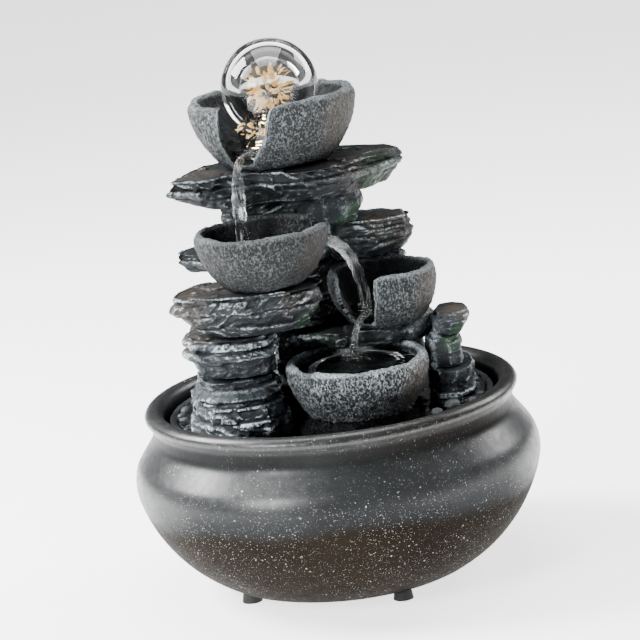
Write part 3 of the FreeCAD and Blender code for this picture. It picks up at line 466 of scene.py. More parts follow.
# ------------------------------------------------------------------ bowls
def bowl_material():
    """Cast stone: a dark ground with fine worm-like silver threads, pale rims, a wet inside and painted
    shade in its hollows. Its colour is scaled by a tone that carries painted light and shade.
    """
    material, tree, shader = new_material("cast_stone")
    wear_and_crevice_shade, pale = attribute(tree, "wear_and_crevice_shade"), attribute(tree, "pale")
    inside = attribute(tree, "inside")
    worms = noise(tree, 1.0, 3, 0.6, stretched(tree, (380, 380, 230)), 1.0)
    ridge = maths(tree, "MULTIPLY", maths(tree, "ABSOLUTE", maths(tree, "SUBTRACT", worms, 0.5)), 10.0)
    thread = maths(tree, "SUBTRACT", 1.0, ridge, True)
    fine = noise(tree, 1.0, 4, 0.7, stretched(tree, (1100, 1100, 700)))
    blotch = noise(tree, 75, 5, 0.6)
    dark = ramp(tree, blotch, [(0.3, (0.004, 0.0055, 0.0065)), (0.7, (0.011, 0.013, 0.014))])
    silver = ramp(tree, blotch, [(0.32, (0.14, 0.155, 0.162)), (0.7, (0.34, 0.375, 0.39))])
    threads = maths(tree, "MULTIPLY", thread, remap(tree, fine, 0.44, 0.57), True)
    raised = maths(tree, "MULTIPLY", remap(tree, wear_and_crevice_shade, 0.55, 0.95), remap(tree, fine, 0.42, 0.58), True)
    amount = maths(tree, "MAXIMUM", threads, maths(tree, "MULTIPLY", raised, 0.55))
    body = mixed(tree, amount, dark, silver)
    warmed = mixed(tree, maths(tree, "MULTIPLY", attribute(tree, "warm"), 0.5), body, (0.075, 0.060, 0.046))
    # the pale rim, and the painted highlight on the spout's lip, laid over the body colour
    pale_rim_and_lip_highlight = mixed(tree, maths(tree, "MULTIPLY", pale, remap(tree, fine, 0.28, 0.66)), warmed,
                    (0.36, 0.41, 0.43))
    wet = mixed(tree, maths(tree, "MULTIPLY", inside, 0.93), pale_rim_and_lip_highlight, (0.007, 0.010, 0.012))
    # painted shade: the hollows between the knobs are darkened almost to black
    painted_bowl_crevice_shade = mixed(tree, remap(tree, wear_and_crevice_shade, 0.1, 0.42, 0.8, 0), wet, (0.005, 0.006, 0.008))
    # the tone scales the whole colour: painted shade towards the foot, and per bowl partly the bowl's own
    # paint, partly painted light
    toned = add(tree, "ShaderNodeVectorMath", operation="SCALE")
    wire(tree, painted_bowl_crevice_shade, toned.inputs[0])
    wire(tree, attribute(tree, "tone"), toned.inputs["Scale"])
    wire(tree, toned.outputs[0], shader.inputs["Base Color"])
    wire(tree, remap(tree, inside, 0.0, 1.0, 0.62, 0.28), shader.inputs["Roughness"])
    shader.inputs["Specular IOR Level"].default_value = 0.3
    bumped(tree, shader, maths(tree, "ADD", fine, maths(tree, "MULTIPLY", thread, 0.8)), 0.9, 0.0006)
    return material


def bowl_piece(node, seed, material, spout=None, tone=1.0, warm=(), voxel=0.5):
    """A bowl with a knobbly cast skin, a pale uneven rim with a painted highlight on the spout's lip, a
    dark wet inside, and painted shade towards its foot.
    """
    skin = dense_copy(node, voxel)
    skin.points = skin.smooth(skin.points, 5)
    normal = skin.normals()
    low, high = (np.array(corner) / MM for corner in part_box(node))
    centre = (low + high) / 2
    p = skin.points.copy()
    out = p[:, :2] - centre[:2]
    radius = np.linalg.norm(out, axis=1)
    facing = (normal[:, :2] * out).sum(1) / (radius + 1e-6)
    rim_radius = (high[0] - low[0]) / 2
    below_rim = 1 - smoothstep(p[:, 2], high[2] - 3.5, high[2] - 1.5)
    facing_in = smoothstep(-facing + 0.35 * normal[:, 2], 0.1, 0.45) * below_rim
    on_rim = smoothstep(p[:, 2], high[2] - 3.2, high[2] - 1.2)
    stretch = p * np.array([1, 1, 0.72])
    vein = ridged(stretch, 2.6, seed, 2)
    lumps = fractal(p, 15, seed + 3, 3)
    knobs = fractal(stretch, 2.4, seed + 5, 3)
    relief = 0.75 * lumps + 0.30 * (vein - 0.5) + 0.44 * knobs
    relief = relief * (1 - 0.6 * facing_in) - 0.55
    relief -= on_rim * 0.9 * smoothstep(fractal(p, 11, seed + 8, 2), -0.2, 0.6)
    pale = 0.7 * on_rim * (0.5 + 0.5 * smoothstep(lumps, -0.3, 0.3))
    if spout:
        turn, depth, narrow, broad, lean = spout
        floor = feet[node][2] + depth
        way = np.array([math.sin(math.radians(turn)), -math.cos(math.radians(turn))])
        side = np.array([-way[1], way[0]])
        rise = (p[:, 2] - floor) / (high[2] - floor)
        half = np.interp(rise, [0, 0.42, 1], [narrow / 2, broad * 0.45, broad / 2])
        middle = np.interp(rise, [0, 0.42, 1], [-lean, 0, lean])
        beyond = np.abs(out @ side - middle) - half
        in_front = smoothstep(out @ way, rim_radius * 0.35, rim_radius * 0.5) * smoothstep(rise, -0.1, 0.02)
        lip = (1 - smoothstep(beyond, 1.6, 4.2)) * in_front * (1 - facing_in)
        relief -= 1.5 * (1 - smoothstep(beyond, 0.2, 4.0)) * smoothstep(beyond, -1.2, 0.0) * in_front
        # painted highlight: the spout's lip is painted pale, standing in for light on the spout's cheeks
        pale = np.maximum(pale, 0.95 * lip)
        facing_in = facing_in * (1 - smoothstep(beyond, -1.0, 0.0) * in_front)
    skin.points = p + normal * relief[:, None]
    wear_and_crevice_shade = skin.wear_and_crevice_shade(5, 0.55) * 0.5 + skin.wear_and_crevice_shade(2, 0.26) * 0.5
    skin.paint("wear_and_crevice_shade", wear_and_crevice_shade)
    # painted shade: the tone falls off towards the bowl's foot, times the bowl's own tone
    skin.paint("tone", tone * (0.72 + 0.45 * smoothstep(p[:, 2], low[2], high[2])))
    skin.paint("pale", pale)
    skin.paint("inside", facing_in)
    skin.paint("warm", balls(skin.points, warm))
    skin.write()
    place(f"{node}_stone", skin.mesh, material, "tower", "bowl_resin", [node])


# ------------------------------------------------------------------ pot
def glaze_material():
    """Satin glaze: cool dark grey above, brown below, with white speckles of many sizes, and a dark brown
    rim and neck that is partly glaze and partly painted shade.
    """
    material, tree, shader = new_material("speckled_glaze")
    split = add(tree, "ShaderNodeSeparateXYZ")
    wire(tree, coordinates(tree), split.inputs[0])
    x, z = split.outputs["X"], split.outputs["Z"]
    sag = maths(tree, "MULTIPLY", maths(tree, "MULTIPLY", x, x), -0.9)
    drift = maths(tree, "MULTIPLY", maths(tree, "SUBTRACT", noise(tree, 22, 4), 0.5), 0.014)
    level = maths(tree, "SUBTRACT", maths(tree, "SUBTRACT", z, sag), drift)
    upper = remap(tree, level, 0.048, 0.058)
    brown = ramp(tree, noise(tree, 35, 5),
                 [(0.3, (0.0075, 0.0050, 0.0030)), (0.7, (0.013, 0.0093, 0.0060))])
    grey = ramp(tree, noise(tree, 45, 5),
                [(0.3, (0.012, 0.0132, 0.0140)), (0.7, (0.021, 0.0228, 0.0236))])
    base = mixed(tree, upper, brown, grey)
    # partly brown glaze, partly painted shade: the rim and the neck under its overhang are darkened, more
    # towards the right
    rim = maths(tree, "MULTIPLY", remap(tree, z, 0.078, 0.088), remap(tree, x, -0.02, 0.07, 0.25, 0.9))
    base = mixed(tree, rim, base, (0.007, 0.0055, 0.0042))
    inner = attribute(tree, "inner")
    specks = None
    for scale, high, share in SPECKS:
        cells = add(tree, "ShaderNodeTexVoronoi", Scale=float(scale), Randomness=1.0)
        warp = add(tree, "ShaderNodeTexNoise", Scale=scale * 1.4, Detail=2.0)
        wire(tree, coordinates(tree), warp.inputs["Vector"])
        shifted = add(tree, "ShaderNodeVectorMath", operation="MULTIPLY_ADD")
        wire(tree, warp.outputs["Color"], shifted.inputs[0])
        shifted.inputs[1].default_value = (0.7 / scale,) * 3
        wire(tree, coordinates(tree), shifted.inputs[2])
        wire(tree, shifted.outputs[0], cells.inputs["Vector"])
        parts = add(tree, "ShaderNodeSeparateColor")
        wire(tree, cells.outputs["Color"], parts.inputs[0])
        reach = remap(tree, parts.outputs[0], share, 1.0, 0.0, high)
        dot = maths(tree, "LESS_THAN", cells.outputs["Distance"], reach)
        tone = maths(tree, "MULTIPLY", dot, remap(tree, parts.outputs[1], 0, 1, 0.35, 1.0))
        specks = tone if specks is None else maths(tree, "MAXIMUM", specks, tone)
    dusting = remap(tree, noise(tree, 28, 3), 0.35, 0.6, 0.35, 1.0)
    specks = maths(tree, "MULTIPLY", specks, dusting)
    under_rim = maths(tree, "MULTIPLY", remap(tree, z, 0.080, 0.085), remap(tree, z, 0.088, 0.094, 1, 0))
    clear_neck = maths(tree, "SUBTRACT", 1.0, maths(tree, "MULTIPLY", under_rim, 0.8))
    specks = maths(tree, "MULTIPLY", specks, clear_neck)
    coloured = mixed(tree, specks, base, (0.46, 0.47, 0.46))
    coloured = mixed(tree, maths(tree, "MULTIPLY", inner, 0.7), coloured, (0.014, 0.015, 0.016))
    wire(tree, coloured, shader.inputs["Base Color"])
    rough = remap(tree, noise(tree, 260, 4), 0.3, 0.7, 0.30, 0.40)
    dull = maths(tree, "MULTIPLY", maths(tree, "SUBTRACT", 1.0, upper), 0.25)
    wire(tree, maths(tree, "ADD", rough, maths(tree, "ADD", dull, maths(tree, "MULTIPLY", specks, 0.15))),
         shader.inputs["Roughness"])
    gloss = maths(tree, "MULTIPLY", remap(tree, level, 0.050, 0.078),
                  maths(tree, "SUBTRACT", 1.0, under_rim))
    wire(tree, remap(tree, gloss, 0.0, 1.0, 1.10, 1.50), shader.inputs["IOR"])
    height = maths(tree, "ADD", maths(tree, "MULTIPLY", noise(tree, 120, 4), 0.7),
                   maths(tree, "MULTIPLY", specks, 0.25))
    bumped(tree, shader, height, 0.22, 0.0006)
    return material


def make_pot(material):
    """The pot again as a fine even mesh, with a soft hand-thrown unevenness and a faint mould seam."""
    skin = dense_copy("basin_pot", 1.15)
    skin.points = skin.smooth(skin.points, 5)
    p, normal = skin.points, skin.normals()
    out = np.hypot(p[:, 0], p[:, 1])
    facing_in = smoothstep(-(normal[:, 0] * p[:, 0] + normal[:, 1] * p[:, 1]) / (out + 1e-6), 0.0, 0.5)
    wobble = 0.16 * fractal(p, 30, 5, 2) - 0.16
    angle = np.degrees(np.arctan2(p[:, 1], p[:, 0]))
    seam = np.exp(-((angle - 178.0) / 0.55) ** 2) * (p[:, 2] < 80) * (1 - facing_in)
    skin.points = p + normal * (wobble + 0.2 * seam)[:, None]
    skin.paint("inner", facing_in)
    skin.write()
    place("pot_shell", skin.mesh, material, "pot", "pot_glaze", ["basin_pot"])


# ------------------------------------------------------------------ glass, water and plastics
def clear_material(name, ior, rough, tint=(1, 1, 1), ripple=0.0, scale=300):
    material, tree, shader = new_material(name)
    shader.inputs["Base Color"].default_value = (*tint, 1)
    shader.inputs["Transmission Weight"].default_value = 1.0
    shader.inputs["IOR"].default_value = ior
    wire(tree, remap(tree, noise(tree, scale, 3), 0.3, 0.7, rough, rough + 0.02),
         shader.inputs["Roughness"])
    if ripple:
        bumped(tree, shader, noise(tree, scale, 3), ripple, 0.0008)
    return material


def stream_material():
    """Falling water: clear, with milky streaks of air along the way it falls."""
    material, tree, shader = new_material("falling_water")
    shader.inputs["IOR"].default_value = 1.33
    streaks = noise(tree, 1.0, 5, 0.6, stretched(tree, (700, 700, 42)), 0.4)
    milky = remap(tree, streaks, 0.60, 0.70, 0.0, 0.75)
    wire(tree, maths(tree, "SUBTRACT", 1.0, milky), shader.inputs["Transmission Weight"])
    wire(tree, mixed(tree, milky, (0.93, 0.96, 0.97), (0.82, 0.85, 0.86)), shader.inputs["Base Color"])
    wire(tree, remap(tree, noise(tree, 500, 3), 0.3, 0.7, 0.02, 0.12), shader.inputs["Roughness"])
    bumped(tree, shader, streaks, 0.7, 0.0012)
    return material


def plastic_material(name, dark, light, low, high, relief=0.25, scale=900, metallic=0.0):
    """A matt or satin solid with a cloudy tone, a fine grain and uneven gloss."""
    material, tree, shader = new_material(name)
    cloud = noise(tree, 90, 5, 0.6)
    grain = noise(tree, scale, 4, 0.7)
    blend = maths(tree, "ADD", maths(tree, "MULTIPLY", cloud, 0.6), maths(tree, "MULTIPLY", grain, 0.4))
    tone = ramp(tree, blend, [(0.35, dark), (0.65, light)])
    wire(tree, tone, shader.inputs["Base Color"])
    wire(tree, remap(tree, cloud, 0.3, 0.7, low, high), shader.inputs["Roughness"])
    shader.inputs["Metallic"].default_value = metallic
    bumped(tree, shader, grain, relief, 0.0003)
    return material


def petal_material():
    """White petals washed with gold, with a painted glow that stands in for light from below."""
    material, tree, shader = new_material("petal_white")
    wash = remap(tree, noise(tree, 230, 3), 0.34, 0.52)
    wire(tree, mixed(tree, wash, (0.92, 0.89, 0.80), (0.80, 0.52, 0.16)), shader.inputs["Base Color"])
    # painted light: the petals glow, though they are no lamp
    wire(tree, mixed(tree, wash, (1.0, 0.95, 0.82), (0.90, 0.52, 0.14)), shader.inputs["Emission Color"])
    shader.inputs["Emission Strength"].default_value = 0.35
    wire(tree, remap(tree, noise(tree, 500, 3), 0.3, 0.7, 0.3, 0.5), shader.inputs["Roughness"])
    bumped(tree, shader, noise(tree, 700, 3), 0.3, 0.0003)
    return material


def glow_material(name, colour, strength):
    """A lit lamp face, brighter in its middle."""
    material, tree, shader = new_material(name)
    cloud = remap(tree, noise(tree, 600, 3), 0.3, 0.7, 0.7, 1.0)
    wire(tree, mixed(tree, cloud, (0.9, 0.75, 0.5), colour), shader.inputs["Base Color"])
    wire(tree, mixed(tree, cloud, (1.0, 0.78, 0.45), colour), shader.inputs["Emission Color"])
    shader.inputs["Emission Strength"].default_value = strength
    return material


def lathe(profile, segments=96, closed=False):
    """A mesh turned about Z from (radius, height) points in mm. A radius of 0 becomes one vertex."""
    build = bmesh.new()
    rings = []
    for radius, height in profile:
        if radius < 1e-6:
            rings.append([build.verts.new((0, 0, height * MM))])
            continue
        turns = [2 * math.pi * i / segments for i in range(segments)]
        rings.append([build.verts.new((radius * MM * math.cos(a), radius * MM * math.sin(a), height * MM))
                      for a in turns])
    pairs = list(zip(rings, rings[1:])) + ([(rings[-1], rings[0])] if closed else [])
    for lower, upper in pairs:
        for i in range(segments):
            j = (i + 1) % segments
            if len(lower) == 1:
                build.faces.new((lower[0], upper[j], upper[i]))
            elif len(upper) == 1:
                build.faces.new((lower[i], lower[j], upper[0]))
            else:
                build.faces.new((lower[i], lower[j], upper[j], upper[i]))
    return build


def finished(build, name, shift=(0, 0, 0), recalculated=True):
    for vertex in build.verts:
        vertex.co += Vector(shift) * MM
    if recalculated:
        bmesh.ops.recalc_face_normals(build, faces=build.faces)
    mesh = bpy.data.meshes.new(name)
    build.to_mesh(mesh)
    build.free()
    return mesh


# ------------------------------------------------------------------ ball
def arc_profile(radius, count):
    """The half circle of a sphere, from its bottom to its top."""
    turns = [math.pi * i / count - math.pi / 2 for i in range(count + 1)]
    profile = [(radius * math.cos(a), radius * math.sin(a)) for a in turns]
    profile[0], profile[-1] = (0, -radius), (0, radius)
    return profile


def make_ball(material):
    """A clear ball with a round hollow in its middle."""
    low, high = (Vector(corner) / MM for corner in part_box("glass_ball"))
    centre, radius = (low + high) / 2, (high.x - low.x) / 2
    build = lathe(arc_profile(radius - 0.02, 64), 128)
    bmesh.ops.recalc_face_normals(build, faces=build.faces)
    hollow = lathe(arc_profile(HOLLOW_RADIUS, 40), 96)
    bmesh.ops.recalc_face_normals(hollow, faces=hollow.faces)
    bmesh.ops.reverse_faces(hollow, faces=hollow.faces)
    spare = bpy.data.meshes.new("spare")
    hollow.to_mesh(spare)
    hollow.free()
    build.from_mesh(spare)
    bpy.data.meshes.remove(spare)
    place("ball_glass", finished(build, "ball_glass", centre, False), material, "ball", "ball_glass",
          ["glass_ball"])
    return centre


def petals(name, spots, material, body, slot, seed):
    """Small curled petals. A spot is (place, outward way, length, width)."""
    rng = np.random.RandomState(seed)
    build = bmesh.new()
    for place_at, way, length, width in spots:
        way = Vector(way).normalized()
        side = way.cross(Vector(rng.normal(size=3))).normalized()
        face = way.cross(side)
        curl = rng.uniform(0.25, 0.9)
        rows = []
        for i in range(7):
            share = i / 6
            half = width * 0.5 * math.sin(math.pi * (0.12 + 0.80 * share)) ** 0.7
            middle = Vector(place_at) + way * length * share + face * curl * length * share * share * 0.6
            cup = 0.25 * half
            rows.append([middle + side * (half * k) + face * (cup * k * k + thick)
                         for thick in (0.0, PETAL_THICKNESS) for k in (-1, -0.4, 0.4, 1)])
        verts = [[build.verts.new(point * MM) for point in row] for row in rows]
        loop = [0, 1, 2, 3, 7, 6, 5, 4]
        for lower, upper in zip(verts, verts[1:]):
            for a, b in zip(loop, loop[1:] + loop[:1]):
                build.faces.new((lower[a], lower[b], upper[b], upper[a]))
        for row in (verts[0], verts[-1]):
            build.faces.new([row[k] for k in loop])
    return place(name, finished(build, name), material, body, slot)


def make_cluster(centre, material):
    """The white and gold cluster inside the ball's hollow."""
    rng = np.random.RandomState(5)
    spots = []
    for _ in range(105):
        way = Vector(rng.normal(size=3) + np.array([0, -0.25, -0.15])).normalized()
        length = rng.uniform(3.0, 5.0)
        reach = (HOLLOW_RADIUS - 1.0 - length) * rng.uniform(0.1, 1.0) ** 0.35
        spots.append((centre + Vector((0, 0, -0.6)) + way * reach, way + Vector(rng.normal(size=3)) * 0.3,
                      length, rng.uniform(1.3, 2.6)))
    petals("ball_cluster", spots, material, "ball", "ball_glass", 6)


# ------------------------------------------------------------------ water
def ripples(points, landings, seed):
    """The height of small waves in mm: slow swell, fine chop, and rings round each landing."""
    height = 0.28 * fractal(points, 9, seed, 3) + 0.10 * fractal(points, 3.2, seed + 4, 2)
    for x, y, strength in landings:
        away = np.hypot(points[:, 0] - x, points[:, 1] - y)
        height += strength * np.cos(away * 1.9) * np.exp(-away / 7.0)
        height += strength * 1.2 * np.exp(-(away / 2.6) ** 2)
    return height


def make_pool(name, node, level, radius, floor_level, floor_radius, landings, material, seed, hole=0.0,
              body="tower"):
    """Water that lies in a round node: a rippled top and a plain underside that the node hides.

    Levels are heights above the node's foot, and a landing is (x, y, strength) from its middle.
    """
    x, y, foot = feet[node]
    level, floor_level = foot + level, foot + floor_level
    landings = [(x + dx, y + dy, strength) for dx, dy, strength in landings]
    rings = 40
    top = [(hole + (radius - hole) * i / rings, level) for i in range(rings + 1)]
    under = [(floor_radius, floor_level), (hole, floor_level)] if hole else [(floor_radius, floor_level),
                                                                            (0, floor_level)]
    build = lathe(top + under, 144, bool(hole))
    mesh = finished(build, name, (x, y, 0))
    skin = Skin(mesh)
    up = skin.points[:, 2] > level - 0.01
    skin.points[:, 2] += np.where(up, ripples(skin.points * np.array([1, 1, 0]), landings, seed), 0)
    skin.write()
    place(name, mesh, material, body, None)


def smooth_path(points, steps):
    """Points along a Catmull-Rom curve through the given points, as rows (x, y, z, width, thickness)."""
    keys = np.array([points[0], *points, points[-1]], dtype=float)
    rows = []
    for i in range(1, len(keys) - 2):
        for k in range(steps):
            t = k / steps
            a, b, c, d = keys[i - 1:i + 3]
            rows.append(0.5 * (2 * b + (c - a) * t + (2 * a - 5 * b + 4 * c - d) * t * t
                               + (3 * b - a - 3 * c + d) * t ** 3))
    rows.append(keys[-2])
    return np.array(rows)


def make_stream(name, node, points, twist, material, seed, first_side=(1, 0, 0)):
    """A ribbon of water that falls from a bowl, with cords along it, and twists as it falls.

    A point is (x, y, z, width, thickness), with x, y and z from the middle of the bowl's foot.
    """
    points = moved(feet[node], points)
    rng = np.random.RandomState(seed)
    path = smooth_path(points, 22)
    sides = 28
    waves = [(k, rng.uniform(0, 6.28), rng.uniform(0.4, 0.6) / k, rng.uniform(-0.08, 0.08))
             for k in (3, 4, 6)]
    build = bmesh.new()
    rings, count = [], len(path)
    for i, (x, y, z, width, thick) in enumerate(path):
        ahead = Vector(path[min(i + 1, count - 1), :3] - path[max(i - 1, 0), :3]).normalized()
        side = Vector(first_side)
        side = (side - ahead * side.dot(ahead)).normalized()
        face = ahead.cross(side)
        turn = math.radians(twist) * i / count
        side, face = (side * math.cos(turn) + face * math.sin(turn),
                      face * math.cos(turn) - side * math.sin(turn))
        pulse = 1 + 0.10 * math.sin(i * 0.45 + seed)
        ring = []
        for k in range(sides):
            angle = 2 * math.pi * k / sides
            swell = 1 + sum(size * math.sin(order * angle + phase + drift * i)
                            for order, phase, size, drift in waves)
            point = (Vector((x, y, z)) + side * (0.5 * width * pulse * swell * math.cos(angle))
                     + face * (0.5 * thick * swell * math.sin(angle)))
            ring.append(build.verts.new(point * MM))
        rings.append(ring)
    for lower, upper in zip(rings, rings[1:]):
        for k in range(sides):
            j = (k + 1) % sides
            build.faces.new((lower[k], lower[j], upper[j], upper[k]))
    build.faces.new(rings[0])
    build.faces.new(rings[-1])
    place(name, finished(build, name), material, "tower", None)


def make_beads(name, centre, count, spread, rise, material, seed, sizes=(0.35, 1.0)):
    """Splash beads scattered round a landing, thick near it and thin further out."""
    rng = np.random.RandomState(seed)
    build = bmesh.new()
    for _ in range(count):
        away = spread * rng.uniform(0, 1) ** 0.8
        angle = rng.uniform(0, 2 * math.pi)
        radius = rng.uniform(*sizes) * (1 - 0.4 * away / spread)
        at = Vector((centre[0] + away * math.cos(angle), centre[1] + away * math.sin(angle),
                     centre[2] + rise * rng.uniform(0, 1) ** 2 * (1 - 0.6 * away / spread)))
        made = bmesh.ops.create_icosphere(build, subdivisions=2, radius=radius * MM)
        stretch = Vector((rng.uniform(0.8, 1.15), rng.uniform(0.8, 1.15), rng.uniform(0.7, 1.3)))
        for vertex in made["verts"]:
            vertex.co = Vector(a * b for a, b in zip(vertex.co, stretch)) + at * MM
    place(name, finished(build, name), material, "tower", None)


def make_waterline(name, outline_at, level, material, seed):
    """The bright, broken edge where the film meets a stone. outline_at(turn) gives its x and y."""
    rng = np.random.RandomState(seed)
    build = bmesh.new()
    count, sides = 260, 8
    turns = [2 * math.pi * i / count for i in range(count)]
    spots = np.array([[math.cos(t) * 30, math.sin(t) * 30, seed * 11.0] for t in turns])
    swell = 0.5 + 0.5 * smoothstep(fractal(spots, 7, seed, 3), -0.35, 0.4)
    rings = []
    for turn, share in zip(turns, swell):
        x, y = outline_at(turn)
        half, high = 0.95 * share, 0.75 * share * rng.uniform(0.85, 1.0)
        way = Vector((math.cos(turn), math.sin(turn), 0))
        ring = []
        for k in range(sides):
            angle = 2 * math.pi * k / sides
            point = (Vector((x, y, level)) + way * (half * math.cos(angle))
                     + Vector((0, 0, high * math.sin(angle))))
            ring.append(build.verts.new(point * MM))
        rings.append(ring)
    for lower, upper in zip(rings, rings[1:] + rings[:1]):
        for k in range(sides):
            j = (k + 1) % sides
            build.faces.new((lower[k], lower[j], upper[j], upper[k]))
    place(name, finished(build, name), material, "tower", None)


def lower_outline(turn):
    x, y, _ = feet["lower_bowl"]
    return x + LOWER_FOOT_RADIUS * math.cos(turn), y + LOWER_FOOT_RADIUS * math.sin(turn)


def make_water(pool_water, falling, beads):
    """The pools, the three falls between them, their splashes and the film on the deck, and the
    top of the basin's water, which stays on the pot."""
    make_pool("pool_top", "top_bowl", 10.0, 26.4, 4.5, 20.0, [(-17, -25, 0.10)], pool_water, 3, 19.1)
    make_pool("pool_upper_left", "upper_left_bowl", 17.6, 25.2, 6.0, 14.5, [(-9.0, 8.7, 0.35)],
              pool_water, 5)
    make_pool("pool_right", "right_bowl", 9.6, 17.6, 4.5, 12.5, [(-8.5, -7, 0.30)], pool_water, 7)
    make_pool("pool_lower", "lower_bowl", 25.6, 30.8, 6.0, 19.0, [(-1, 3, 0.40)], pool_water, 9)
    make_pool("deck_film", "base_plate", 6.2, 80.6, 5.1, 80.0, [(15, -60, 0.05)], pool_water, 11)
    make_pool("basin_water", "basin_pot", 69.0, 96.2, 67.4, 95.6, [(0, -86, 0.05)], pool_water, 13,
              body="pot")
    make_stream("fall_top", "top_bowl",
                [(-11.0, -18.5, 9.4, 8, 1.6), (-15.6, -22.8, 8.0, 9.0, 2.8), (-18.4, -26.6, 6.9, 8.6, 3.2),
                 (-20.0, -30.6, 4.6, 7.8, 3.2), (-21.3, -34.4, -1.0, 7.0, 3.2),
                 (-21.9, -37.0, -11.0, 6.6, 3.4), (-22.0, -38.6, -23.0, 6.2, 3.4),
                 (-22.0, -39.4, -37.0, 6.4, 4.0)], 170, falling, 21, (0.9, -0.45, 0))
    make_stream("fall_upper_left", "upper_left_bowl",
                [(20.0, 6.5, 16.2, 9, 1.8), (25.5, 8.2, 17.0, 10.0, 2.4), (32.0, 10.4, 16.8, 10.5, 2.6),
                 (37.5, 13.2, 13.8, 10.0, 2.8), (42.5, 17.0, 6.6, 8.8, 3.0), (46.5, 20.6, -4.5, 7.4, 3.2),
                 (50.0, 23.8, -24.0, 6.4, 4.0)], 70, falling, 22, (-0.3, 0.95, 0))
    make_stream("fall_right", "right_bowl",
                [(-7.8, -11.2, 8.8, 8.0, 2.8), (-11.6, -15.8, 8.0, 7.4, 3.0), (-15.0, -20.2, 5.6, 6.6, 3.2),
                 (-17.4, -23.0, -0.5, 6.0, 3.4), (-18.8, -24.2, -12.8, 6.8, 4.0)],
                80, falling, 23, (0.82, -0.57, 0))
    make_waterline("waterline_lower", lower_outline, feet["lower_bowl"][2] + 1.4, falling, 41)
    make_beads("splash_upper_left", feet["upper_left_bowl"] + (-9.5, 8.6, 18.4), 60, 8.5, 5.0, beads, 31)
    make_beads("splash_right", feet["right_bowl"] + (-8.5, -7.2, 10.2), 40, 7.0, 4.0, beads, 32)
    make_beads("splash_lower", feet["lower_bowl"] + (-0.8, 2.8, 26.6), 46, 7.5, 4.0, beads, 33)


def make_jet_splash(material):
    """The lit splash that the jet throws out under the ball, towards the top bowl's spout."""
    rng = np.random.RandomState(17)
    x, y, foot = feet["top_bowl"]
    spots = []
    for _ in range(70):
        turn = math.radians(rng.normal(-98, 22))
        rise = rng.uniform(0, 1)
        reach = 20.6 + 2.6 * rise + rng.uniform(0, 1.8)
        at = Vector((x + reach * math.cos(turn), y + reach * math.sin(turn), foot + 17 + 8 * rise))
        way = Vector((math.cos(turn), math.sin(turn), rng.uniform(-0.6, 0.9)))
        spots.append((at, way, rng.uniform(1.6, 3.4), rng.uniform(0.9, 1.8)))
    # drawn in the glowing petal material: a painted glow that stands in for the lamp's light
    petals("jet_splash", spots, material, "tower", None, 18)


# ------------------------------------------------------------------ small parts
def rounded(node, material, width, segments=3):
    """Keeps a CAD node, with softened edges and a material of its own."""
    piece = nodes[node]
    piece.data.materials.clear()
    piece.data.materials.append(material)
    bevel = piece.modifiers.new("soft_edges", "BEVEL")
    bevel.width = width * MM
    bevel.segments = segments
    bevel.limit_method = "ANGLE"
    bevel.angle_limit = math.radians(35)
    bevel.harden_normals = False


def rough_copy(node, name, material, body, slot, voxel, relief, size, seed):
    """A dense copy of a CAD node with an uneven cast surface."""
    skin = dense_copy(node, voxel)
    skin.points = skin.smooth(skin.points, 3)
    normal = skin.normals()
    lumps = relief * (fractal(skin.points, size, seed, 4) - 0.8)
    skin.points = skin.points + normal * lumps[:, None]
    skin.paint("wear_and_crevice_shade", skin.wear_and_crevice_shade(4, 0.5))
    skin.write()
    place(name, skin.mesh, material, body, slot, [node])


make_camera()
make_studio()
slate = slate_material()
# spots are (x, y, z, radius, squash in Z) in mm from a rock's lowest corner; a squash below 1 is taller
moss = {"rock_top_ledge": [(110, 26.1, 7, 18, 1)], "rock_left_ledge": [(71, 20, 2, 14, 1)],
        "rock_right_step": [(13, 5, 1, 7, 1)], "rock_upper_right": [(10.8, 7, 5, 10, 1)],
        "rock_right_neck": [(11, 4, 13, 6, 1)], "rock_mid_shelf": [(25, 6, 1, 12, 1)]}
warm = {"rock_top_ledge": [(102, 23.1, 15, 26, 1), (17, 28.1, 15, 20, 1)],
        "rock_left_ledge": [(16, 30, 20, 26, 1), (66, 10, 18, 14, 1)],
        "rock_right_shelf": [(30.05, 10, 18, 18, 1)], "rock_left_step": [(11.5, 26, 20, 18, 1)],
        "rock_right_step": [(11, 13, 11, 12, 1)]}
between_necks = moved(corners["rock_upper_right"], [(-0.2, y, 9, 14, 1) for y in (3, 17, 31)])
between_shelves = moved(corners["rock_right_shelf"],
                        [(-0.45, y, z, 11, 1) for y in (2, 16, 30) for z in (6, 18)])
beside_right = moved(corners["rock_right_neck"],
                     [(-2, y, z, 12, 1) for y in (8, 24, 36) for z in (6, 12, 19)])
joined = {"rock_upper_neck": between_necks + between_shelves, "rock_right_shelf": between_shelves,
          "rock_back_shelf": between_shelves,
          "rock_upper_right": between_necks,
          "rock_mid_shelf": beside_right, "rock_right_step": beside_right, "rock_right_neck": beside_right,
          "rock_right_base": beside_right, "rock_core_lower": beside_right}
# painted light: each rock's tone makes the lower rocks lighter and the top and left ledges darker, standing
# in for the light each one gets
rock_tones_painted_light = {"rock_left_base": 1.9, "rock_left_step": 1.4, "rock_right_base": 1.5, "rock_right_neck": 1.5,
         "rock_right_step": 1.5,
         "rock_top_ledge": 0.75, "rock_left_ledge": 0.75}
for index, node in enumerate(sorted(n for n in nodes if n.startswith("rock_"))):
    slate_piece(node, 11 + index * 7, slate, moved(corners[node], moss.get(node, ())),
                moved(corners[node], warm.get(node, ())), joined.get(node, ()), rock_tones_painted_light.get(node, 1.0))
stone = bowl_material()
# a spout is (turn in degrees, its floor above the bowl's foot, width at the floor, width at the rim, lean)
spouts = {"top_bowl": (-27, 4, 11, 27, 5), "upper_left_bowl": (108, 14, 9, 22, 0),
          "right_bowl": (-35, 4, 9, 21, 0), "lower_bowl": None}
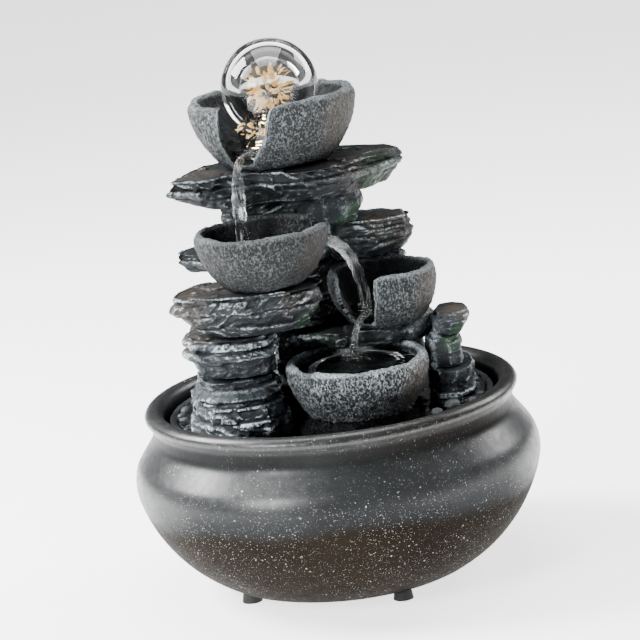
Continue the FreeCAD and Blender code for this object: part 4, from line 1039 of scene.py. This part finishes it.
# each bowl's tone: partly its own paint, partly painted light that makes the lower bowl lighter and the
# upper left bowl darker for the light each one gets
bowl_tones_and_painted_light = {"top_bowl": 0.75, "upper_left_bowl": 0.38, "right_bowl": 0.85, "lower_bowl": 1.9}
brown_sides = {"top_bowl": [(37, -22, 20, 22, 1)], "upper_left_bowl": [(27.5, -18, 16, 16, 1)],
               "right_bowl": [(25, -13, 17, 18, 1)], "lower_bowl": [(31, -18, 13, 18, 1)]}
for index, (node, spout) in enumerate(spouts.items()):
    bowl_piece(node, 101 + index * 13, stone, spout, bowl_tones_and_painted_light[node], moved(feet[node], brown_sides[node]))
make_pot(glaze_material())

glass = clear_material("ball_glass", 1.5, 0.0)
petal_white = petal_material()
ball_centre = make_ball(glass)
make_cluster(ball_centre, petal_white)
pool_water = clear_material("pool_water", 1.33, 0.0, (0.93, 0.97, 0.98), 0.25, 220)
falling = stream_material()
bead_water = clear_material("bead_water", 1.33, 0.0, (1, 1, 1), 0.1, 900)
make_water(pool_water, falling, bead_water)
make_jet_splash(petal_white)

deck = plastic_material("deck_resin", (0.012, 0.015, 0.018), (0.030, 0.035, 0.040), 0.35, 0.6, 0.5, 500)
rough_copy("base_plate", "base_plate_cast", deck, "tower", "deck_resin", 1.1, 0.25, 8, 41)
pebble = plastic_material("pebble_stone", (0.010, 0.013, 0.016), (0.050, 0.056, 0.060), 0.45, 0.75,
                          0.7, 420)
for index, node in enumerate(("pebbles_left", "pebbles_right", "pebbles_rear")):
    rough_copy(node, f"{node}_cast", pebble, "tower", "pebble_stone", 0.35, 0.45, 3.0, 51 + index)
rubber = plastic_material("foot_rubber", (0.003, 0.003, 0.003), (0.008, 0.008, 0.008), 0.55, 0.75)
grommet = plastic_material("grommet_rubber", (0.010, 0.010, 0.011), (0.022, 0.022, 0.023), 0.5, 0.7)
cups = plastic_material("cup_rubber", (0.30, 0.32, 0.33), (0.42, 0.44, 0.45), 0.3, 0.45)
pump = plastic_material("pump_plastic", (0.010, 0.011, 0.012), (0.022, 0.023, 0.025), 0.35, 0.5)
dial = plastic_material("dial_plastic", (0.016, 0.05, 0.11), (0.03, 0.08, 0.16), 0.35, 0.5)
rotor = plastic_material("rotor_plastic", (0.55, 0.56, 0.56), (0.70, 0.71, 0.70), 0.35, 0.5)
steel = plastic_material("shaft_steel", (0.50, 0.50, 0.51), (0.66, 0.66, 0.67), 0.18, 0.3, 0.1, 1500, 1.0)
core = plastic_material("core_steel", (0.16, 0.16, 0.17), (0.26, 0.26, 0.27), 0.35, 0.5, 0.2, 1500, 1.0)
copper = plastic_material("coil_copper", (0.50, 0.20, 0.08), (0.72, 0.33, 0.15), 0.3, 0.42, 0.6, 1200, 1.0)
leg = plastic_material("leg_resin", (0.018, 0.021, 0.024), (0.038, 0.042, 0.046), 0.45, 0.65)
lamp_case = plastic_material("light_plastic", (0.020, 0.021, 0.022), (0.034, 0.035, 0.036), 0.3, 0.45)
lead_cover = plastic_material("lead_rubber", (0.012, 0.012, 0.013), (0.026, 0.026, 0.027), 0.45, 0.6)
hose = clear_material("clear_hose", 1.45, 0.08, (0.90, 0.95, 0.96), 0.2, 500)
clear = clear_material("clear_plastic", 1.46, 0.04, (0.96, 0.98, 0.98), 0.15, 400)
lamp = glow_material("lamp_glow", (1.0, 0.86, 0.62), 14.0)
looks = {rubber: (0.5, [n for n in nodes if n.startswith("foot_")]), grommet: (0.4, ["cable_grommet"]),
         cups: (0.4, [n for n in nodes if n.startswith("suction_cup_")]),
         pump: (0.6, ["pump_housing", "pump_front_cover", "outlet_nozzle"]),
         dial: (0.3, ["flow_dial", "shaft_bush_rear"]), rotor: (0.25, ["impeller"]),
         steel: (0.15, ["impeller_shaft"]), core: (0.2, ["stator_core"]), copper: (0.3, ["stator_coil"]),
         leg: (0.6, [n for n in nodes if n.startswith("tower_leg_")]),
         lamp_case: (0.4, ["light_housing", "light_plug", "light_socket"]),
         lead_cover: (0.1, ["light_lead"]), hose: (0.3, ["riser_hose"]),
         clear: (0.3, ["ball_seat", "light_lens"]), lamp: (0.1, ["light_leds"])}
for look, (width, names) in looks.items():
    for name in names:
        rounded(name, look, width)
